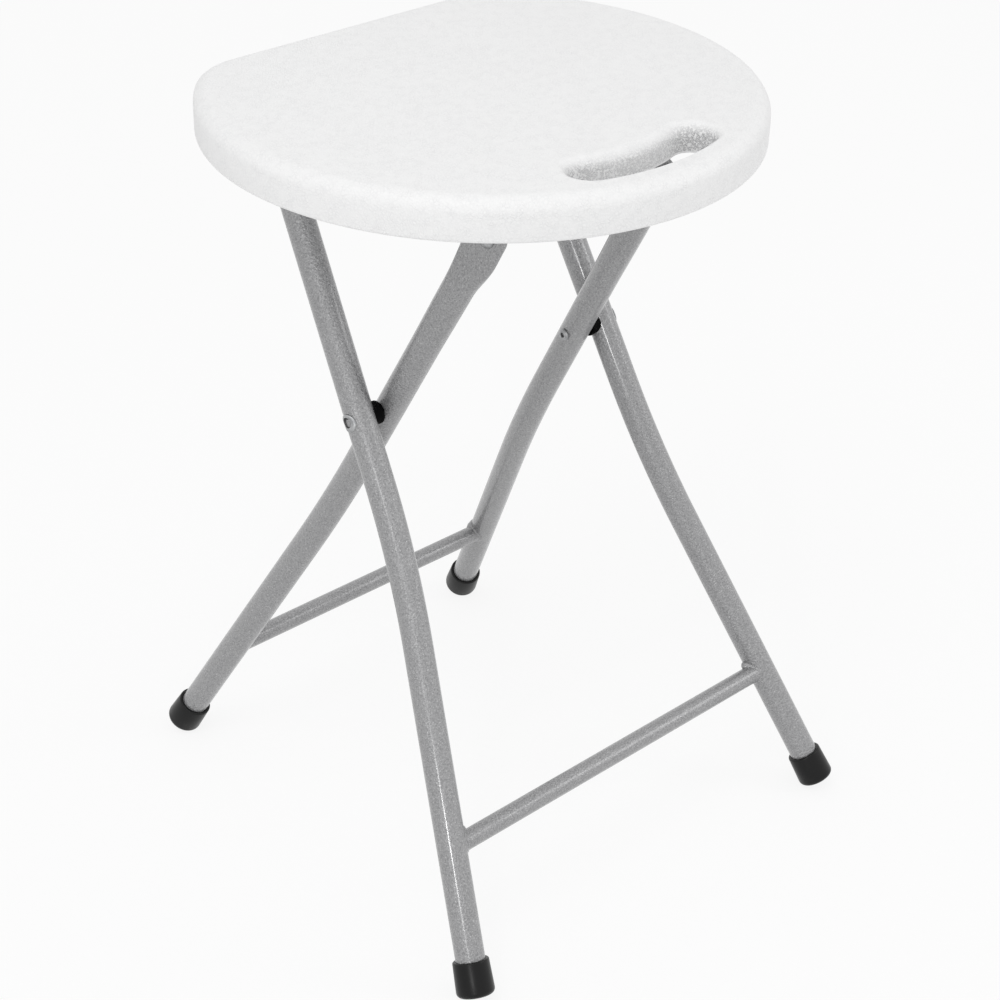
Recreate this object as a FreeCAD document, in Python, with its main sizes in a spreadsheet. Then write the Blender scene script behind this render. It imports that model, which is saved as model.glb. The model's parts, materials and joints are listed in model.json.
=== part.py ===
"""Round folding stool: a moulded seat on two crossed tube frames."""
import FreeCAD, Part
import os

import Sketcher

V = FreeCAD.Vector
doc = FreeCAD.newDocument("folding_stool")

# Driving dimensions, in millimetres and degrees
SIZES = {
    # overall stance
    "seat_height": 440.0,
    "foot_half_spread": 153.4,
    "pivot_drop": 121.5,
    "pivot_back": 6.3,
    # tubes
    "leg_diameter": 16.5,
    "leg_wall": 1.2,
    "bar_diameter": 11.0,
    "bar_height": 73.0,
    "leg_bend_radius": 600.0,
    # outer frame, whose feet stand just inside the seat's width, measured to the tube's centre line
    "outer_pivot_half": 90.8,
    "foot_inset": 7.1,
    "outer_bend_drop": 82.0,
    "outer_upper_splay": 2.7,
    "outer_corner_radius": 32.0,
    # inner frame, which folds inside the outer one
    "leg_gap": 4.9,
    "foot_step": 24.1,
    "inner_bend_drop": 87.4,
    "inner_upper_splay": 3.0,
    # flattened top of each inner leg, from the rod down: flat, then flared, then slowly tapered
    "flat_length": 10.7,
    "flare_length": 29.0,
    "taper_length": 53.0,
    "squash_mid_width": 17.8,
    "squash_mid_depth": 14.6,
    "flat_width": 24.6,
    "flat_thickness": 3.0,
    "tab_end": 9.0,
    "tab_corner": 5.0,
    # seat, placed by the rod under its front and the hinge under its back
    "seat_radius": 150.0,
    "rod_inset": 76.8,
    "rod_drop": 28.0,
    "hinge_inset": 40.6,
    "seat_corner_radius": 45.0,
    "seat_thickness": 22.5,
    "rim_width": 9.0,
    "recess_depth": 7.5,
    "seat_top_round": 8.0,
    "seat_bottom_round": 1.6,
    # hand slot, an arc that follows the rim, with a flat ring between the two rounded edges
    "slot_ring": 2.05,
    "slot_width": 21.5,
    "slot_half_length": 47.5,
    "slot_lip_round": 7.0,
    # dimples that tie the two skins of the moulding together
    "dimple_circle": 46.0,
    "dimple_radius": 8.0,
    "dimple_depth": 8.0,
    "dimple_count": 8,
    # hinge straps at the back
    "strap_centre": 30.0,
    "strap_width": 20.0,
    "strap_thickness": 1.5,
    "strap_flange": 16.0,
    "running_gap": 0.3,
    # hooks at the front
    "hook_centre": 36.0,
    "hook_width": 18.0,
    "hook_wall": 6.0,
    "hook_reach": 5.0,
    "hook_saddle": 12.0,
    "hook_flange": 13.0,
    "hook_flange_thickness": 3.0,
    "hook_round": 2.0,
    "flange_corner": 4.0,
    # top rod
    "rod_diameter": 8.0,
    "rod_neck_diameter": 6.0,
    "rod_head_diameter": 12.5,
    "rod_head_height": 2.6,
    # pivot rivets and spacers
    "rivet_diameter": 6.0,
    "rivet_head_diameter": 10.2,
    "rivet_head_height": 1.4,
    "rivet_bore": 3.4,
    "rivet_bore_depth": 7.0,
    "rivet_curl_diameter": 8.6,
    "rivet_curl_height": 1.6,
    "spacer_diameter": 13.0,
    "spacer_play": 0.9,
    "hole_play": 0.05,
    "seat_gap": 0.02,
    "spacer_wrap": 2.5,
    "rivet_head_bore": 4.4,
    "rivet_head_bore_depth": 1.2,
    # rubber feet
    "foot_length": 24.0,
    "foot_wall": 2.55,
    "foot_rim_step": 0.6,
    "foot_rim_length": 4.0,
    "foot_floor": 4.0,
    "foot_round": 3.0,
    "foot_rim_round": 0.5,
    # weld beads at the bars' ends
    "weld_leg": 2.6,
    # screws
    "screw_diameter": 3.6,
    "screw_head_diameter": 8.0,
    "screw_head_base": 6.0,
    "screw_head_height": 2.2,
    "screw_grip": 9.0,
    "screw_tip_gap": 0.5,
}

# Lengths and angles worked out from the driving dimensions
WORKED_OUT = {
    "leg_r": "dims.leg_diameter / 2",
    "bar_r": "dims.bar_diameter / 2",
    "seat_bottom": "dims.seat_height - dims.seat_thickness",
    "recess_z": "dims.seat_height - dims.seat_thickness + dims.recess_depth",
    "outer_foot_half": "dims.seat_radius - dims.foot_inset",
    "inner_foot_half": "calc.outer_foot_half - dims.foot_step",
    "rod_z": "calc.recess_z - dims.rod_drop",
    "pivot_z": "calc.rod_z - dims.pivot_drop",
    "inner_pivot_half": "dims.outer_pivot_half - dims.leg_diameter - dims.leg_gap",
    "outer_lean": "atan2(dims.foot_half_spread + dims.pivot_back; calc.pivot_z) / 1 deg",
    "inner_lean": "atan2(dims.foot_half_spread - dims.pivot_back; calc.pivot_z) / 1 deg",
    "outer_floor_run": "calc.pivot_z / cos(calc.outer_lean)",
    "inner_floor_run": "calc.pivot_z / cos(calc.inner_lean)",
    "outer_bend_half": "dims.outer_pivot_half + dims.outer_bend_drop * tan(dims.outer_upper_splay)",
    "inner_bend_half": "calc.inner_pivot_half + dims.inner_bend_drop * tan(dims.inner_upper_splay)",
    "outer_splay": "atan2(calc.outer_foot_half - calc.outer_bend_half;"
                   " calc.outer_floor_run - dims.outer_bend_drop) / 1 deg",
    "inner_splay": "atan2(calc.inner_foot_half - calc.inner_bend_half;"
                   " calc.inner_floor_run - dims.inner_bend_drop) / 1 deg",
    "hinge_z": "calc.recess_z - calc.leg_r - dims.running_gap",
    "top_run": "(calc.hinge_z - calc.pivot_z) / cos(calc.outer_lean)",
    "hinge_y": "dims.pivot_back + calc.top_run * sin(calc.outer_lean)",
    "rod_run": "dims.pivot_drop / cos(calc.inner_lean)",
    "rod_y": "dims.pivot_back - calc.rod_run * sin(calc.inner_lean)",
    "squash_end": "calc.rod_run - dims.flat_length",
    "squash_middle": "calc.squash_end - dims.flare_length",
    "squash_start": "calc.squash_middle - dims.taper_length",
    "rod_half": "calc.inner_pivot_half - calc.rod_run * tan(dims.inner_upper_splay)",
    "outer_bar_run": "(calc.pivot_z - dims.bar_height) / cos(calc.outer_lean)",
    "inner_bar_run": "(calc.pivot_z - dims.bar_height) / cos(calc.inner_lean)",
    "outer_bar_half": "calc.outer_foot_half"
                      " - (calc.outer_floor_run - calc.outer_bar_run) * tan(calc.outer_splay)",
    "inner_bar_half": "calc.inner_foot_half"
                      " - (calc.inner_floor_run - calc.inner_bar_run) * tan(calc.inner_splay)",
    "outer_tilt": "acos(cos(calc.outer_splay) * cos(calc.outer_lean)) / 1 deg",
    "inner_tilt": "acos(cos(calc.inner_splay) * cos(calc.inner_lean)) / 1 deg",
    "foot_r": "calc.leg_r + dims.foot_wall",
    "foot_rim_r": "calc.foot_r + dims.foot_rim_step",
    "outer_foot_lift": "(dims.foot_round * (1 - cos(calc.outer_tilt))"
                       " + (calc.foot_r - dims.foot_round) * sin(calc.outer_tilt))"
                       " / cos(calc.outer_tilt)",
    "inner_foot_lift": "(dims.foot_round * (1 - cos(calc.inner_tilt))"
                       " + (calc.foot_r - dims.foot_round) * sin(calc.inner_tilt))"
                       " / cos(calc.inner_tilt)",
    "outer_reach": "dims.leg_bend_radius * tan((calc.outer_splay - dims.outer_upper_splay) / 2)",
    "inner_reach": "dims.leg_bend_radius * tan((calc.inner_splay - dims.inner_upper_splay) / 2)",
    "corner_half": "dims.outer_pivot_half - calc.top_run * tan(dims.outer_upper_splay)",
    "corner_reach": "dims.outer_corner_radius * tan((90 - dims.outer_upper_splay) / 2)",
    "seat_centre": "calc.rod_y + dims.seat_radius - dims.rod_inset",
    "seat_back": "calc.hinge_y + dims.hinge_inset - calc.seat_centre",
    "corner_centre_half": "sqrt((dims.seat_radius - dims.seat_corner_radius)^2"
                          " - (calc.seat_back - dims.seat_corner_radius)^2)",
    "dimple_centre": "(calc.rod_y + calc.hinge_y) / 2 - calc.seat_centre",
    "strap_inner": "calc.leg_r + dims.running_gap",
    "strap_outer": "calc.leg_r + dims.running_gap + dims.strap_thickness",
    "hook_inner": "dims.rod_diameter / 2 + dims.running_gap",
    "hook_sweep": "calc.rod_run + dims.rod_diameter / 2 + dims.running_gap",
    "slot_radius": "dims.seat_radius - dims.seat_top_round - dims.slot_ring - dims.slot_lip_round"
                   " - dims.slot_width / 2",
    "slot_half_angle": "asin((dims.slot_half_length - dims.slot_width / 2) / calc.slot_radius) / 1 deg",
}


def make_sheet(name, cells):
    """Fill a spreadsheet with one aliased cell for each entry."""
    sheet = doc.addObject("Spreadsheet::Sheet", name)
    for row, alias in enumerate(cells, start=1):
        sheet.setAlias(f"B{row}", alias)
    for row, (alias, value) in enumerate(cells.items(), start=1):
        sheet.set(f"A{row}", alias)
        sheet.set(f"B{row}", value if isinstance(value, str) else str(value))
    return sheet


dims = make_sheet("dims", SIZES)
doc.recompute()
calc = make_sheet("calc", {name: "=" + text.replace("calc.", "") for name, text in WORKED_OUT.items()})
doc.recompute()


def size(name):
    """Read a driving or a worked-out value from its sheet."""
    return float(getattr(dims if name in SIZES else calc, name))


def evaluate(text):
    """Work out an expression on the sheets as a plain number."""
    return float(dims.evalExpression(text))


ORIGIN_PLANES = {"XY": "XY_Plane", "XZ": "XZ_Plane", "YZ": "YZ_Plane"}


def plane_of(body, plane):
    """Return one of the body's own origin planes."""
    role = ORIGIN_PLANES[plane]
    return next(item for item in body.Origin.OriginFeatures if item.Role == role)


def new_body(name, y="0", z="0", turn="0"):
    """Start a body whose local frame is turned about X and moved to (0, y, z)."""
    body = doc.addObject("PartDesign::Body", name)
    body.Label = name
    body.Placement = FreeCAD.Placement(V(0, 0, 0), FreeCAD.Rotation(V(1, 0, 0), 0.001))
    body.setExpression("Placement.Base.y", y)
    body.setExpression("Placement.Base.z", z)
    if turn != "0":
        body.setExpression("Placement.Rotation.Angle", turn)
    else:
        body.Placement = FreeCAD.Placement(V(0, 0, 0), FreeCAD.Rotation())
    return body


def outer_plane_body(name):
    """A body in the outer frame's plane: X across, Y up along the legs, origin at the pivot."""
    return new_body(name, "dims.pivot_back", "calc.pivot_z", "(90 - calc.outer_lean) * 1 deg")


def inner_plane_body(name):
    """A body in the inner frame's plane: X across, Y up along the legs, origin at the pivot."""
    return new_body(name, "dims.pivot_back", "calc.pivot_z", "(90 + calc.inner_lean) * 1 deg")


def new_sketch(body, plane, name, offset="0"):
    """Attach an empty sketch to a plane of the body, moved along its normal."""
    sketch = body.newObject("Sketcher::SketchObject", f"{body.Name}_{name}")
    sketch.AttachmentSupport = [(plane_of(body, plane), "")]
    sketch.MapMode = "FlatFace"
    if offset != "0":
        sketch.setExpression("AttachmentOffset.Base.z", offset)
    return sketch


def fix_point(sketch, geometry, point, x, y):
    """Place a point of the sketch with one expression for each coordinate."""
    for kind, axis, text in (("DistanceX", -2, x), ("DistanceY", -1, y)):
        if text == "0":
            sketch.addConstraint(Sketcher.Constraint("PointOnObject", geometry, point, axis))
        else:
            rule = Sketcher.Constraint(kind, -1, 1, geometry, point, evaluate(text))
            sketch.setExpression(f"Constraints[{sketch.addConstraint(rule)}]", text)


def draw_chain(sketch, corners, arcs=None, closed=True):
    """Join the corners with lines, or with arcs {segment: (centre x, centre y, "ccw" or "cw")}."""
    arcs = arcs or {}
    points = [V(evaluate(x), evaluate(y), 0) for x, y in corners]
    count = len(points) if closed else len(points) - 1
    ends = []
    for index in range(count):
        start, finish = points[index], points[(index + 1) % len(points)]
        if index in arcs:
            centre_x, centre_y, turn = arcs[index]
            centre = V(evaluate(centre_x), evaluate(centre_y), 0)
            circle = Part.Circle(centre, V(0, 0, 1), (start - centre).Length)
            first, last = (start, finish) if turn == "ccw" else (finish, start)
            shape = Part.ArcOfCircle(circle, circle.parameter(first), circle.parameter(last))
            points_of_ends = (1, 2) if turn == "ccw" else (2, 1)
        else:
            shape = Part.LineSegment(start, finish)
            points_of_ends = (1, 2)
        geometry = sketch.addGeometry(shape, False)
        ends.append((geometry, *points_of_ends))
        fix_point(sketch, geometry, points_of_ends[0], *corners[index])
        if index in arcs:
            chord = finish - start
            kind, text = ("DistanceY", centre_y) if abs(chord.x) > abs(chord.y) else ("DistanceX", centre_x)
            fix_centre(sketch, geometry, kind, text)
    for index in range(count - 1):
        join(sketch, ends[index], ends[index + 1])
    if closed:
        join(sketch, ends[-1], ends[0])
    else:
        fix_point(sketch, ends[-1][0], ends[-1][2], *corners[-1])
    return sketch


def fix_centre(sketch, geometry, kind, text):
    """Place one coordinate of an arc's centre."""
    if text == "0":
        axis = -2 if kind == "DistanceX" else -1
        sketch.addConstraint(Sketcher.Constraint("PointOnObject", geometry, 3, axis))
    else:
        rule = Sketcher.Constraint(kind, -1, 1, geometry, 3, evaluate(text))
        sketch.setExpression(f"Constraints[{sketch.addConstraint(rule)}]", text)


def join(sketch, before, after):
    """Make the end of one piece of an outline meet the start of the next."""
    sketch.addConstraint(Sketcher.Constraint("Coincident", before[0], before[2], after[0], after[1]))


def draw_circle(sketch, x, y, radius):
    """Add a circle whose centre and radius are bound to expressions."""
    centre = V(evaluate(x), evaluate(y), 0)
    geometry = sketch.addGeometry(Part.Circle(centre, V(0, 0, 1), evaluate(radius)), False)
    fix_point(sketch, geometry, 3, x, y)
    rule = sketch.addConstraint(Sketcher.Constraint("Radius", geometry, evaluate(radius)))
    sketch.setExpression(f"Constraints[{rule}]", radius)


def draw_axis(sketch, start, finish):
    """Add a construction line, the sketch's own turning axis."""
    points = [V(evaluate(x), evaluate(y), 0) for x, y in (start, finish)]
    geometry = sketch.addGeometry(Part.LineSegment(*points), True)
    fix_point(sketch, geometry, 1, *start)
    fix_point(sketch, geometry, 2, *finish)


def pad(body, sketch, length, midplane=False, backwards=False):
    """Extrude a sketch and return the new feature."""
    feature = body.newObject("PartDesign::Pad", f"{sketch.Name}_pad")
    feature.Profile = sketch
    feature.setExpression("Length", length)
    feature.Midplane = midplane
    feature.Reversed = backwards
    body.Tip = feature
    doc.recompute()
    return feature


def pocket(body, sketch, length=None, backwards=False):
    """Cut a sketch into the body, or through it both ways, and check that something was cut."""
    before = body.Shape.Volume
    feature = body.newObject("PartDesign::Pocket", f"{sketch.Name}_pocket")
    feature.Profile = sketch
    if length is None:
        feature.Type = "ThroughAll"
        feature.Midplane = True
    else:
        feature.setExpression("Length", length)
    feature.Reversed = backwards
    body.Tip = feature
    doc.recompute()
    assert body.Shape.Volume < before, f"{feature.Name} cuts nothing"
    return feature


def revolve(body, sketch, axis, kind="Revolution"):
    """Turn a sketch through a full circle about one of its axes, adding or cutting."""
    feature = body.newObject(f"PartDesign::{kind}", f"{sketch.Name}_turned")
    feature.Profile = sketch
    feature.ReferenceAxis = (sketch, [axis])
    feature.Angle = 360
    body.Tip = feature
    doc.recompute()
    return feature


def pipe(body, profile, path):
    """Sweep a ring-shaped profile along a path."""
    feature = body.newObject("PartDesign::AdditivePipe", f"{path.Name}_pipe")
    feature.Profile = profile
    feature.Spine = path
    body.Tip = feature
    doc.recompute()
    return feature


def round_edges(body, radius, chosen, kind="Fillet"):
    """Fillet or chamfer the edges of the body's last feature that the test picks."""
    base = body.Tip
    names = [f"Edge{i}" for i, edge in enumerate(base.Shape.Edges, start=1) if chosen(edge)]
    assert names, f"no edge to round on {body.Name}"
    feature = body.newObject(f"PartDesign::{kind}", f"{base.Name}_{kind.lower()}")
    feature.Base = (base, names)
    feature.setExpression("Radius" if kind == "Fillet" else "Size", radius)
    body.Tip = feature
    doc.recompute()
    return feature


def at_height(height, tolerance=0.01):
    """Pick edges that lie flat at one height of the body's own frame."""
    def test(edge):
        box = edge.BoundBox
        return abs(box.ZMin - height) < tolerance and abs(box.ZMax - height) < tolerance
    return test


# Tubes

def draw_ring(sketch, x, y):
    """Draw the cross section of the leg tube."""
    draw_circle(sketch, x, y, "calc.leg_r")
    draw_circle(sketch, x, y, "calc.leg_r - dims.leg_wall")


def bend_corners(frame, side):
    """The two tangent points and the centre of a leg's gentle bend, in its frame's plane."""
    half, drop = f"calc.{frame}_bend_half", f"dims.{frame}_bend_drop"
    reach, radius = f"calc.{frame}_reach", "dims.leg_bend_radius"
    upper, lower = f"dims.{frame}_upper_splay", f"calc.{frame}_splay"
    start = (f"{side} * ({half} - {reach} * sin({upper}))", f"-{drop} + {reach} * cos({upper})")
    finish = (f"{side} * ({half} + {reach} * sin({lower}))", f"-{drop} - {reach} * cos({lower})")
    centre = (f"{side} * ({half} - {reach} * sin({upper}) + {radius} * cos({upper}))",
              f"-{drop} + {reach} * cos({upper}) + {radius} * sin({upper})")
    return start, finish, centre


def leg_point(frame, side, along, across="0"):
    """A point measured from the floor up the lower leg's centre line and across it."""
    splay = f"calc.{frame}_splay"
    x = f"{side} * (calc.{frame}_foot_half - ({along}) * sin({splay}) + ({across}) * cos({splay}))"
    y = f"-calc.{frame}_floor_run + ({along}) * cos({splay}) + ({across}) * sin({splay})"
    return x, y


def leg_end(frame, side):
    """The tube's cut end, which stands on the floor of the rubber foot."""
    return leg_point(frame, side, f"calc.{frame}_foot_lift + dims.foot_floor")


def make_outer_tube():
    """The outer frame's tube: two legs and the top bar, bent from one length."""
    body = outer_plane_body("outer_tube")
    ring = new_sketch(body, "YZ", "section")
    draw_ring(ring, "calc.top_run", "0")
    start, finish, centre = bend_corners("outer", 1)
    upper = "dims.outer_upper_splay"
    corners = [
        ("0", "calc.top_run"),
        ("calc.corner_half - calc.corner_reach", "calc.top_run"),
        (f"calc.corner_half + calc.corner_reach * sin({upper})",
         f"calc.top_run - calc.corner_reach * cos({upper})"),
        start, finish, leg_end("outer", 1)]
    arcs = {1: ("calc.corner_half - calc.corner_reach",
                "calc.top_run - dims.outer_corner_radius", "cw"),
            3: (*centre, "ccw")}
    path = draw_chain(new_sketch(body, "XY", "path"), corners, arcs, closed=False)
    half = pipe(body, ring, path)
    mirror = body.newObject("PartDesign::Mirrored", "outer_tube_mirror")
    mirror.Originals = [half]
    mirror.MirrorPlane = (plane_of(body, "YZ"), [""])
    body.Tip = mirror
    doc.recompute()
    drill_pivot(body)
    return body


def drill_pivot(body):
    """Drill the pivot rivet's hole across the frame."""
    hole = new_sketch(body, "YZ", "pivot_hole")
    draw_circle(hole, "0", "0", "dims.rivet_diameter / 2 + dims.hole_play")
    pocket(body, hole)


def draw_flat_section(sketch, x, width, depth):
    """A squashed tube's section: two straight sides and two round ends."""
    corners = [(f"{x} - ({depth}) / 2", f"-(({width}) - ({depth})) / 2"),
               (f"{x} + ({depth}) / 2", f"-(({width}) - ({depth})) / 2"),
               (f"{x} + ({depth}) / 2", f"(({width}) - ({depth})) / 2"),
               (f"{x} - ({depth}) / 2", f"(({width}) - ({depth})) / 2")]
    arcs = {0: (x, f"-(({width}) - ({depth})) / 2", "ccw"),
            2: (x, f"(({width}) - ({depth})) / 2", "ccw")}
    draw_chain(sketch, corners, arcs)


def draw_round_section(sketch):
    """The tube's outside as four arcs, one for each edge of the squashed section."""
    corner = "calc.leg_r * cos(45)"
    corners = [(f"-{corner}", f"-{corner}"), (corner, f"-{corner}"), (corner, corner), (f"-{corner}", corner)]
    draw_chain(sketch, corners, {segment: ("0", "0", "ccw") for segment in range(4)})


def sketch_across(body, path, name):
    """Attach an empty sketch square to the start of a path."""
    sketch = body.newObject("Sketcher::SketchObject", f"{body.Name}_{name}")
    sketch.AttachmentSupport = [(path, "Edge1")]
    sketch.MapMode = "NormalToEdge"
    sketch.AttachmentOffset = FreeCAD.Placement(V(0, 0, 0), FreeCAD.Rotation(V(0, 1, 0), 180))
    doc.recompute()
    return sketch


def make_inner_leg(name, side):
    """An inner leg: round tube, squashed towards its top and flat round the rod's hole."""
    body = inner_plane_body(name)
    splay = "tan(dims.inner_upper_splay)"

    def across(height):
        return f"{side} * (calc.inner_pivot_half - ({height}) * {splay})"

    start, finish, centre = bend_corners("inner", side)
    corners = [(across("calc.squash_start"), "calc.squash_start"), start, finish, leg_end("inner", side)]
    turn = "ccw" if side > 0 else "cw"
    path = draw_chain(new_sketch(body, "XY", "path"), corners, {1: (*centre, turn)}, closed=False)
    doc.recompute()
    ring = sketch_across(body, path, "section")
    draw_ring(ring, "0", "0")
    pipe(body, ring, path)

    sections = [sketch_across(body, path, "round")]
    draw_round_section(sections[0])
    for label, height, width, depth, centre_x in (
            ("oval", "calc.squash_middle", "dims.squash_mid_width", "dims.squash_mid_depth",
             across("calc.squash_middle")),
            ("flat", "calc.squash_end", "dims.flat_width", "dims.flat_thickness", across("calc.rod_run"))):
        sketch = new_sketch(body, "XZ", label, f"-{height}")
        draw_flat_section(sketch, centre_x, width, depth)
        sections.append(sketch)
    loft = body.newObject("PartDesign::AdditiveLoft", f"{name}_squash")
    loft.Profile = sections[0]
    loft.Sections = sections[1:]
    loft.Ruled = True
    body.Tip = loft
    doc.recompute()

    tab = new_sketch(body, "YZ", "tab", across("calc.rod_run"))
    half, inset = "dims.flat_width / 2", "(dims.flat_width / 2 - dims.tab_corner)"
    end, shoulder = "calc.rod_run + dims.tab_end", "calc.rod_run + dims.tab_end - dims.tab_corner"
    draw_chain(tab, [("calc.squash_end", f"-{half}"), (shoulder, f"-{half}"), (end, f"-{inset}"),
                     (end, inset), (shoulder, half), ("calc.squash_end", half)],
               {1: (shoulder, f"-{inset}", "ccw"), 3: (shoulder, inset, "ccw")})
    pad(body, tab, "dims.flat_thickness", midplane=True)
    hole = new_sketch(body, "YZ", "rod_hole", across("calc.rod_run"))
    draw_circle(hole, "calc.rod_run", "0", "dims.rod_neck_diameter / 2 + dims.hole_play")
    pocket(body, hole)
    drill_pivot(body)
    return body


# Cross bars

def cut_by_leg(body, name, centre, splay, side):
    """Cut a piece to the surface of a leg whose centre line passes through a point."""
    x, y = centre
    sketch = new_sketch(body, "XY", name)
    radius, half_length = "(calc.leg_r + dims.seat_gap)", "2 * dims.leg_diameter"

    def place(along, out):
        return (f"{side} * ({x} - ({along}) * sin({splay}) + ({out}) * cos({splay}))",
                f"{y} + ({along}) * cos({splay}) + ({out}) * sin({splay})")

    corners = [place(f"-({half_length})", "0"), place(f"-({half_length})", radius),
               place(half_length, radius), place(half_length, "0")]
    draw_chain(sketch, corners)
    draw_axis(sketch, corners[0], corners[3])
    before = body.Shape.Volume
    revolve(body, sketch, "Axis0", "Groove")
    assert body.Shape.Volume < before, f"{name} cuts nothing"


def make_stretcher(frame, start_body):
    """A frame's cross bar with its weld beads, cut to fit against both legs."""
    body = start_body(f"{frame}_stretcher")
    run, half = f"calc.{frame}_bar_run", f"calc.{frame}_bar_half"
    section = new_sketch(body, "YZ", "section")
    draw_circle(section, f"-{run}", "0", "calc.bar_r")
    pad(body, section, f"2 * {half}", midplane=True)
    for side in (-1, 1):
        bead = new_sketch(body, "XY", "bead_left" if side < 0 else "bead_right")
        foot = f"{side} * ({half} - calc.leg_r)"
        draw_chain(bead, [
            (f"{foot} - {side} * dims.weld_leg", f"-{run}"),
            (f"{foot} - {side} * dims.weld_leg", f"-{run} + calc.bar_r"),
            (foot, f"-{run} + calc.bar_r + dims.weld_leg"),
            (f"{side} * {half}", f"-{run} + calc.bar_r + dims.weld_leg"),
            (f"{side} * {half}", f"-{run}")])
        draw_axis(bead, (f"{foot} - {side} * dims.weld_leg", f"-{run}"), (f"{side} * {half}", f"-{run}"))
        revolve(body, bead, "Axis0")
    for side in (-1, 1):
        cut_by_leg(body, "fit_left" if side < 0 else "fit_right", (half, f"-{run}"),
                   f"calc.{frame}_splay", side)
    return body


# Rubber feet

def is_circle(edge, radius):
    """True for a round edge of the given radius."""
    return isinstance(edge.Curve, Part.Circle) and abs(edge.Curve.Radius - radius) < 0.001


def make_foot(name, frame, side, start_body):
    """A rubber cup pushed over the end of a leg, standing on its rounded edge."""
    body = start_body(name)
    bore = "calc.leg_r + dims.seat_gap"
    rim_start = "dims.foot_length - dims.foot_rim_length"
    profile = [("0", "0"), ("0", "calc.foot_r"), (rim_start, "calc.foot_r"),
               (rim_start, "calc.foot_rim_r"), ("dims.foot_length", "calc.foot_rim_r"),
               ("dims.foot_length", bore), ("dims.foot_floor", bore), ("dims.foot_floor", "0")]
    corners = [leg_point(frame, side, f"calc.{frame}_foot_lift + {along}", across)
               for along, across in profile]
    sketch = draw_chain(new_sketch(body, "XY", "profile"), corners)
    draw_axis(sketch, corners[0], corners[-1])
    revolve(body, sketch, "Axis0")
    sole_radius, rim_radius = size("foot_r"), size("foot_rim_r")
    sole_centre = min(edge.Curve.Center.y for edge in body.Tip.Shape.Edges if is_circle(edge, sole_radius))
    round_edges(body, "dims.foot_round",
                lambda edge: is_circle(edge, sole_radius) and edge.Curve.Center.y < sole_centre + 0.1)
    round_edges(body, "dims.foot_rim_round", lambda edge: is_circle(edge, rim_radius))
    return body


# Pivot of the two frames

def cut_by_outer_leg(body, name, side):
    """Shape a piece to the outer leg's surface where the pivot crosses it."""
    cut_by_leg(body, name, ("dims.outer_pivot_half", "0"), "dims.outer_upper_splay", side)


def make_pivot_rivet(name, side):
    """A tubular rivet through an outer leg, its spacer and an inner leg."""
    body = outer_plane_body(name)
    face = "(dims.outer_pivot_half + calc.leg_r)"
    back = "(calc.inner_pivot_half - calc.leg_r - dims.running_gap)"
    head_r, dimple_r = "dims.rivet_head_diameter / 2", "dims.rivet_head_bore / 2"
    height = "dims.rivet_head_height"
    dome = f"({height}^2 + ({dimple_r})^2 - ({head_r})^2) / (2 * {height})"

    def chain(label, points, arcs=None):
        sketch = new_sketch(body, "XY", label)
        turned = {key: (f"{side} * ({x})", y, turn) for key, (x, y, turn) in (arcs or {}).items()}
        draw_chain(sketch, [(f"{side} * ({x})", y) if x != "0" else (x, y) for x, y in points], turned)
        revolve(body, sketch, "H_Axis")

    turn = "cw" if side > 0 else "ccw"
    chain("head", [(f"{face} - dims.rivet_head_height", "0"), (f"{face} - dims.rivet_head_height", head_r),
                   (face, head_r), (f"{face} + {height}", dimple_r),
                   (f"{face} + {height} - dims.rivet_head_bore_depth", dimple_r),
                   (f"{face} + {height} - dims.rivet_head_bore_depth", "0")],
          {2: (f"{face} + {dome}", "0", turn)})
    cut_by_outer_leg(body, "head_fit", side)
    bore = "dims.rivet_bore / 2"
    curl = "dims.rivet_curl_diameter / 2"
    tip = f"{back} - dims.rivet_curl_height"
    chain("shank", [(tip, bore), (tip, f"{curl} - dims.rivet_curl_height / 2"),
                    (f"{tip} + dims.rivet_curl_height / 2", curl), (back, curl),
                    (back, "dims.rivet_diameter / 2"), (face, "dims.rivet_diameter / 2"), (face, "0"),
                    (f"{tip} + dims.rivet_bore_depth", "0"), (f"{tip} + dims.rivet_bore_depth", bore)])
    return body


def make_pivot_spacer(name, side):
    """A moulded disc that keeps the crossing legs apart and hugs the outer leg."""
    body = outer_plane_body(name)
    start = "calc.inner_pivot_half + calc.leg_r + dims.spacer_play"
    finish = "dims.outer_pivot_half - calc.leg_r + dims.spacer_wrap"
    disc = new_sketch(body, "YZ", "disc", f"{side} * ({start})")
    draw_circle(disc, "0", "0", "dims.spacer_diameter / 2")
    pad(body, disc, f"{finish} - ({start})", backwards=side < 0)
    cut_by_outer_leg(body, "leg_fit", side)
    hole = new_sketch(body, "YZ", "hole")
    draw_circle(hole, "0", "0", "dims.rivet_diameter / 2 + dims.seat_gap")
    pocket(body, hole)
    return body


# Rod between the inner legs' flat tops

def make_top_rod():
    """The riveted rod that the seat's hooks rest on."""
    body = new_body("top_rod", "calc.rod_y", "calc.rod_z")
    inside = "(calc.rod_half - dims.flat_thickness / 2 - dims.hole_play)"
    outside = "(calc.rod_half + dims.flat_thickness / 2 + dims.hole_play)"
    neck, thick = "dims.rod_neck_diameter / 2", "dims.rod_diameter / 2"
    head, height = "dims.rod_head_diameter / 2", "dims.rod_head_height"
    dome = f"({height}^2 - ({head})^2) / (2 * {height})"
    half = [(inside, thick), (inside, neck), (outside, neck), (outside, head), (f"{outside} + {height}", "0")]
    corners = [(f"-1 * ({x})", y) for x, y in reversed(half)] + half
    arcs = {0: (f"-1 * ({outside} + {dome})", "0", "cw"),
            8: (f"{outside} + {dome}", "0", "cw")}
    sketch = draw_chain(new_sketch(body, "XY", "profile"), corners, arcs)
    revolve(body, sketch, "H_Axis")
    return body


# Seat

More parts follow.
